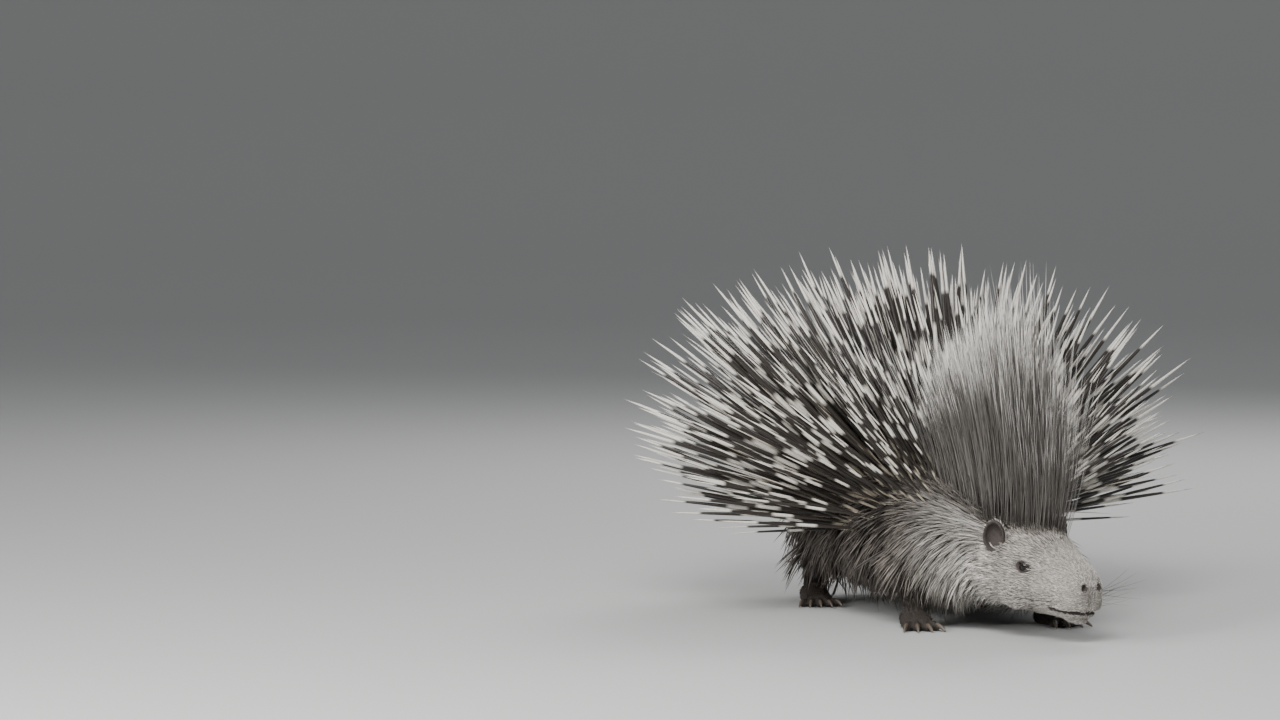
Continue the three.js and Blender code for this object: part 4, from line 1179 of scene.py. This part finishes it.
RATTLE = {
    "count": 30, "length": [42, 62], "spread": 0.62, "stray": 0.12, "sides": 12, "depth": 0.62,
    "root": 0.9, "dome": 0.25, "apart": 0.55,
    "swirl": 2.4,  # the angle from one quill to the next
}
RATTLE_PROFILE = [  # share of the length, then radius: stalk, wall, lip, and back inside
    (0, 0.8), (0.2, 0.7), (0.42, 0.8), (0.5, 1.6), (0.56, 2.5), (0.64, 2.9), (0.85, 3.0), (0.98, 2.8),
    (1, 2.6), (0.99, 2.2), (0.9, 2.3), (0.7, 2.2),
]


def rattle_quill(number, random):
    across, over = np.array([0, 1.0, 0]), np.cross(TAIL_WAY, [0, 1.0, 0])
    share = ((number + 0.5) / RATTLE["count"]) ** 0.5
    side = across * cos(RATTLE["swirl"] * number) + over * sin(RATTLE["swirl"] * number)
    stray = random.uniform(-RATTLE["stray"], RATTLE["stray"], 3)
    way = unit(TAIL_WAY + side * share * RATTLE["spread"] + stray)
    middle = TAIL_WAY * (RATTLE["root"] - share * RATTLE["dome"]) * TAIL["length"]
    root = TAIL_ROOT + (middle + side * share * TAIL["tip"] * RATTLE["apart"]) * MM
    length = random.uniform(*RATTLE["length"]) * MM
    left = unit(np.cross(UP, way))
    up = np.cross(way, left)
    rings = [
        around(root + way * place * length, left, up, np.full(3, radius * MM), turns(RATTLE["sides"]))
        for place, radius in RATTLE_PROFILE
    ]
    return lofted(root, rings, root + way * RATTLE["depth"] * length)


random = np.random.default_rng(30)
rattle = mesh_of("tail_rattle", [rattle_quill(k, random) for k in range(RATTLE["count"])])
places = np.repeat([place for place, _ in RATTLE_PROFILE], RATTLE["sides"])
keep_on(rattle.data, "along", np.tile(np.concatenate([[0], places, [RATTLE["depth"]]]), RATTLE["count"]))
rattle.data.materials.append(white_quill)
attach(rattle, "root")

# Studio
# A pale floor that rises far away into a backdrop all round, lit by large soft lights and one small one that
# shines in the eye. The camera keeps the photograph's framing.
EYE_PIXEL, PICTURE = (1023, 564), (1280, 720)
SCALE = 1.2 * MM  # one pixel of the picture at the right eye
SENSOR = 36
DISTANCE, AZIMUTH, ELEVATION = 5.0, radians(67), radians(5.75)
BACK = np.array([sin(AZIMUTH) * cos(ELEVATION), -cos(AZIMUTH) * cos(ELEVATION), sin(ELEVATION)])
eye_at = on_skull([EYE_PLACE[0], -EYE_PLACE[1] - EYE_RADIUS, EYE_PLACE[2]])
right = np.array([cos(AZIMUTH), sin(AZIMUTH), 0])
over = np.cross(BACK, right)
off_x, off_y = (pixel - size / 2 for pixel, size in zip(EYE_PIXEL, PICTURE))
aim = eye_at - right * off_x * SCALE + over * off_y * SCALE


def aimed(name, data, at, target):
    """A camera or a lamp that looks at a place."""
    made = placed(name, data)
    made.location = at
    made.rotation_euler = Vector(np.array(target) - made.location).to_track_quat("-Z", "Y").to_euler()
    return made


lens = bpy.data.cameras.new("camera")
lens.sensor_width = SENSOR
lens.lens = SENSOR * DISTANCE / (SCALE * PICTURE[0])
bpy.context.scene.camera = aimed("camera", lens, eye_at + BACK * DISTANCE, aim)

FLOOR = [(4, 0), (9, 0), (11, 0.15), (13, 0.8), (14.5, 2.2), (15, 5), (15, 9)]  # radius and height in metres
FLOOR_SIDES = 64
turn = -turns(FLOOR_SIDES)
circle = np.stack([np.cos(turn), np.sin(turn), 0 * turn], 1)
rings = np.vstack([circle * radius + UP * height for radius, height in FLOOR])
floor_faces = [list(range(FLOOR_SIDES))]
for inner in range(0, (len(FLOOR) - 1) * FLOOR_SIDES, FLOOR_SIDES):
    for k in range(FLOOR_SIDES):
        n = (k + 1) % FLOOR_SIDES
        floor_faces.append((inner + k, inner + FLOOR_SIDES + k, inner + FLOOR_SIDES + n, inner + n))
floor = mesh_of("floor", [(rings, floor_faces)])
paint, _, paint_shader = finish("pale floor", 0.9, 0.5)
feed(paint_shader, {"Base Color": (0.5, 0.5, 0.49, 1)})
floor.data.materials.append(paint)

LIT = Vector((0, 0, 0.15))  # the place that all the lights point at
LIGHTS = {  # where each soft light stands, its size in metres, and its power in watts
    "key light": [(2.4, -1.2, 2.2), (1.4, 1.0), 110], "fill light": [(0.6, -3.0, 1.6), (2.0, 1.6), 45],
    "back light": [(-2.2, 1.8, 2.6), (2.0, 1.2), 70], "catch light": [(1.5, -2.2, 0.9), (0.3, 0.3), 22],
}
for name, (at, size, watts) in LIGHTS.items():
    lamp = bpy.data.lights.new(name, "AREA")
    lamp.shape = "RECTANGLE"
    lamp.size, lamp.size_y = size
    lamp.energy = watts
    aimed(name, lamp, at, LIT)
world = bpy.data.worlds.new("studio")
bpy.context.scene.world = world
world.use_nodes = True
feed(world.node_tree.nodes["Background"], {"Color": (0.8, 0.82, 0.85, 1), "Strength": 0.45})
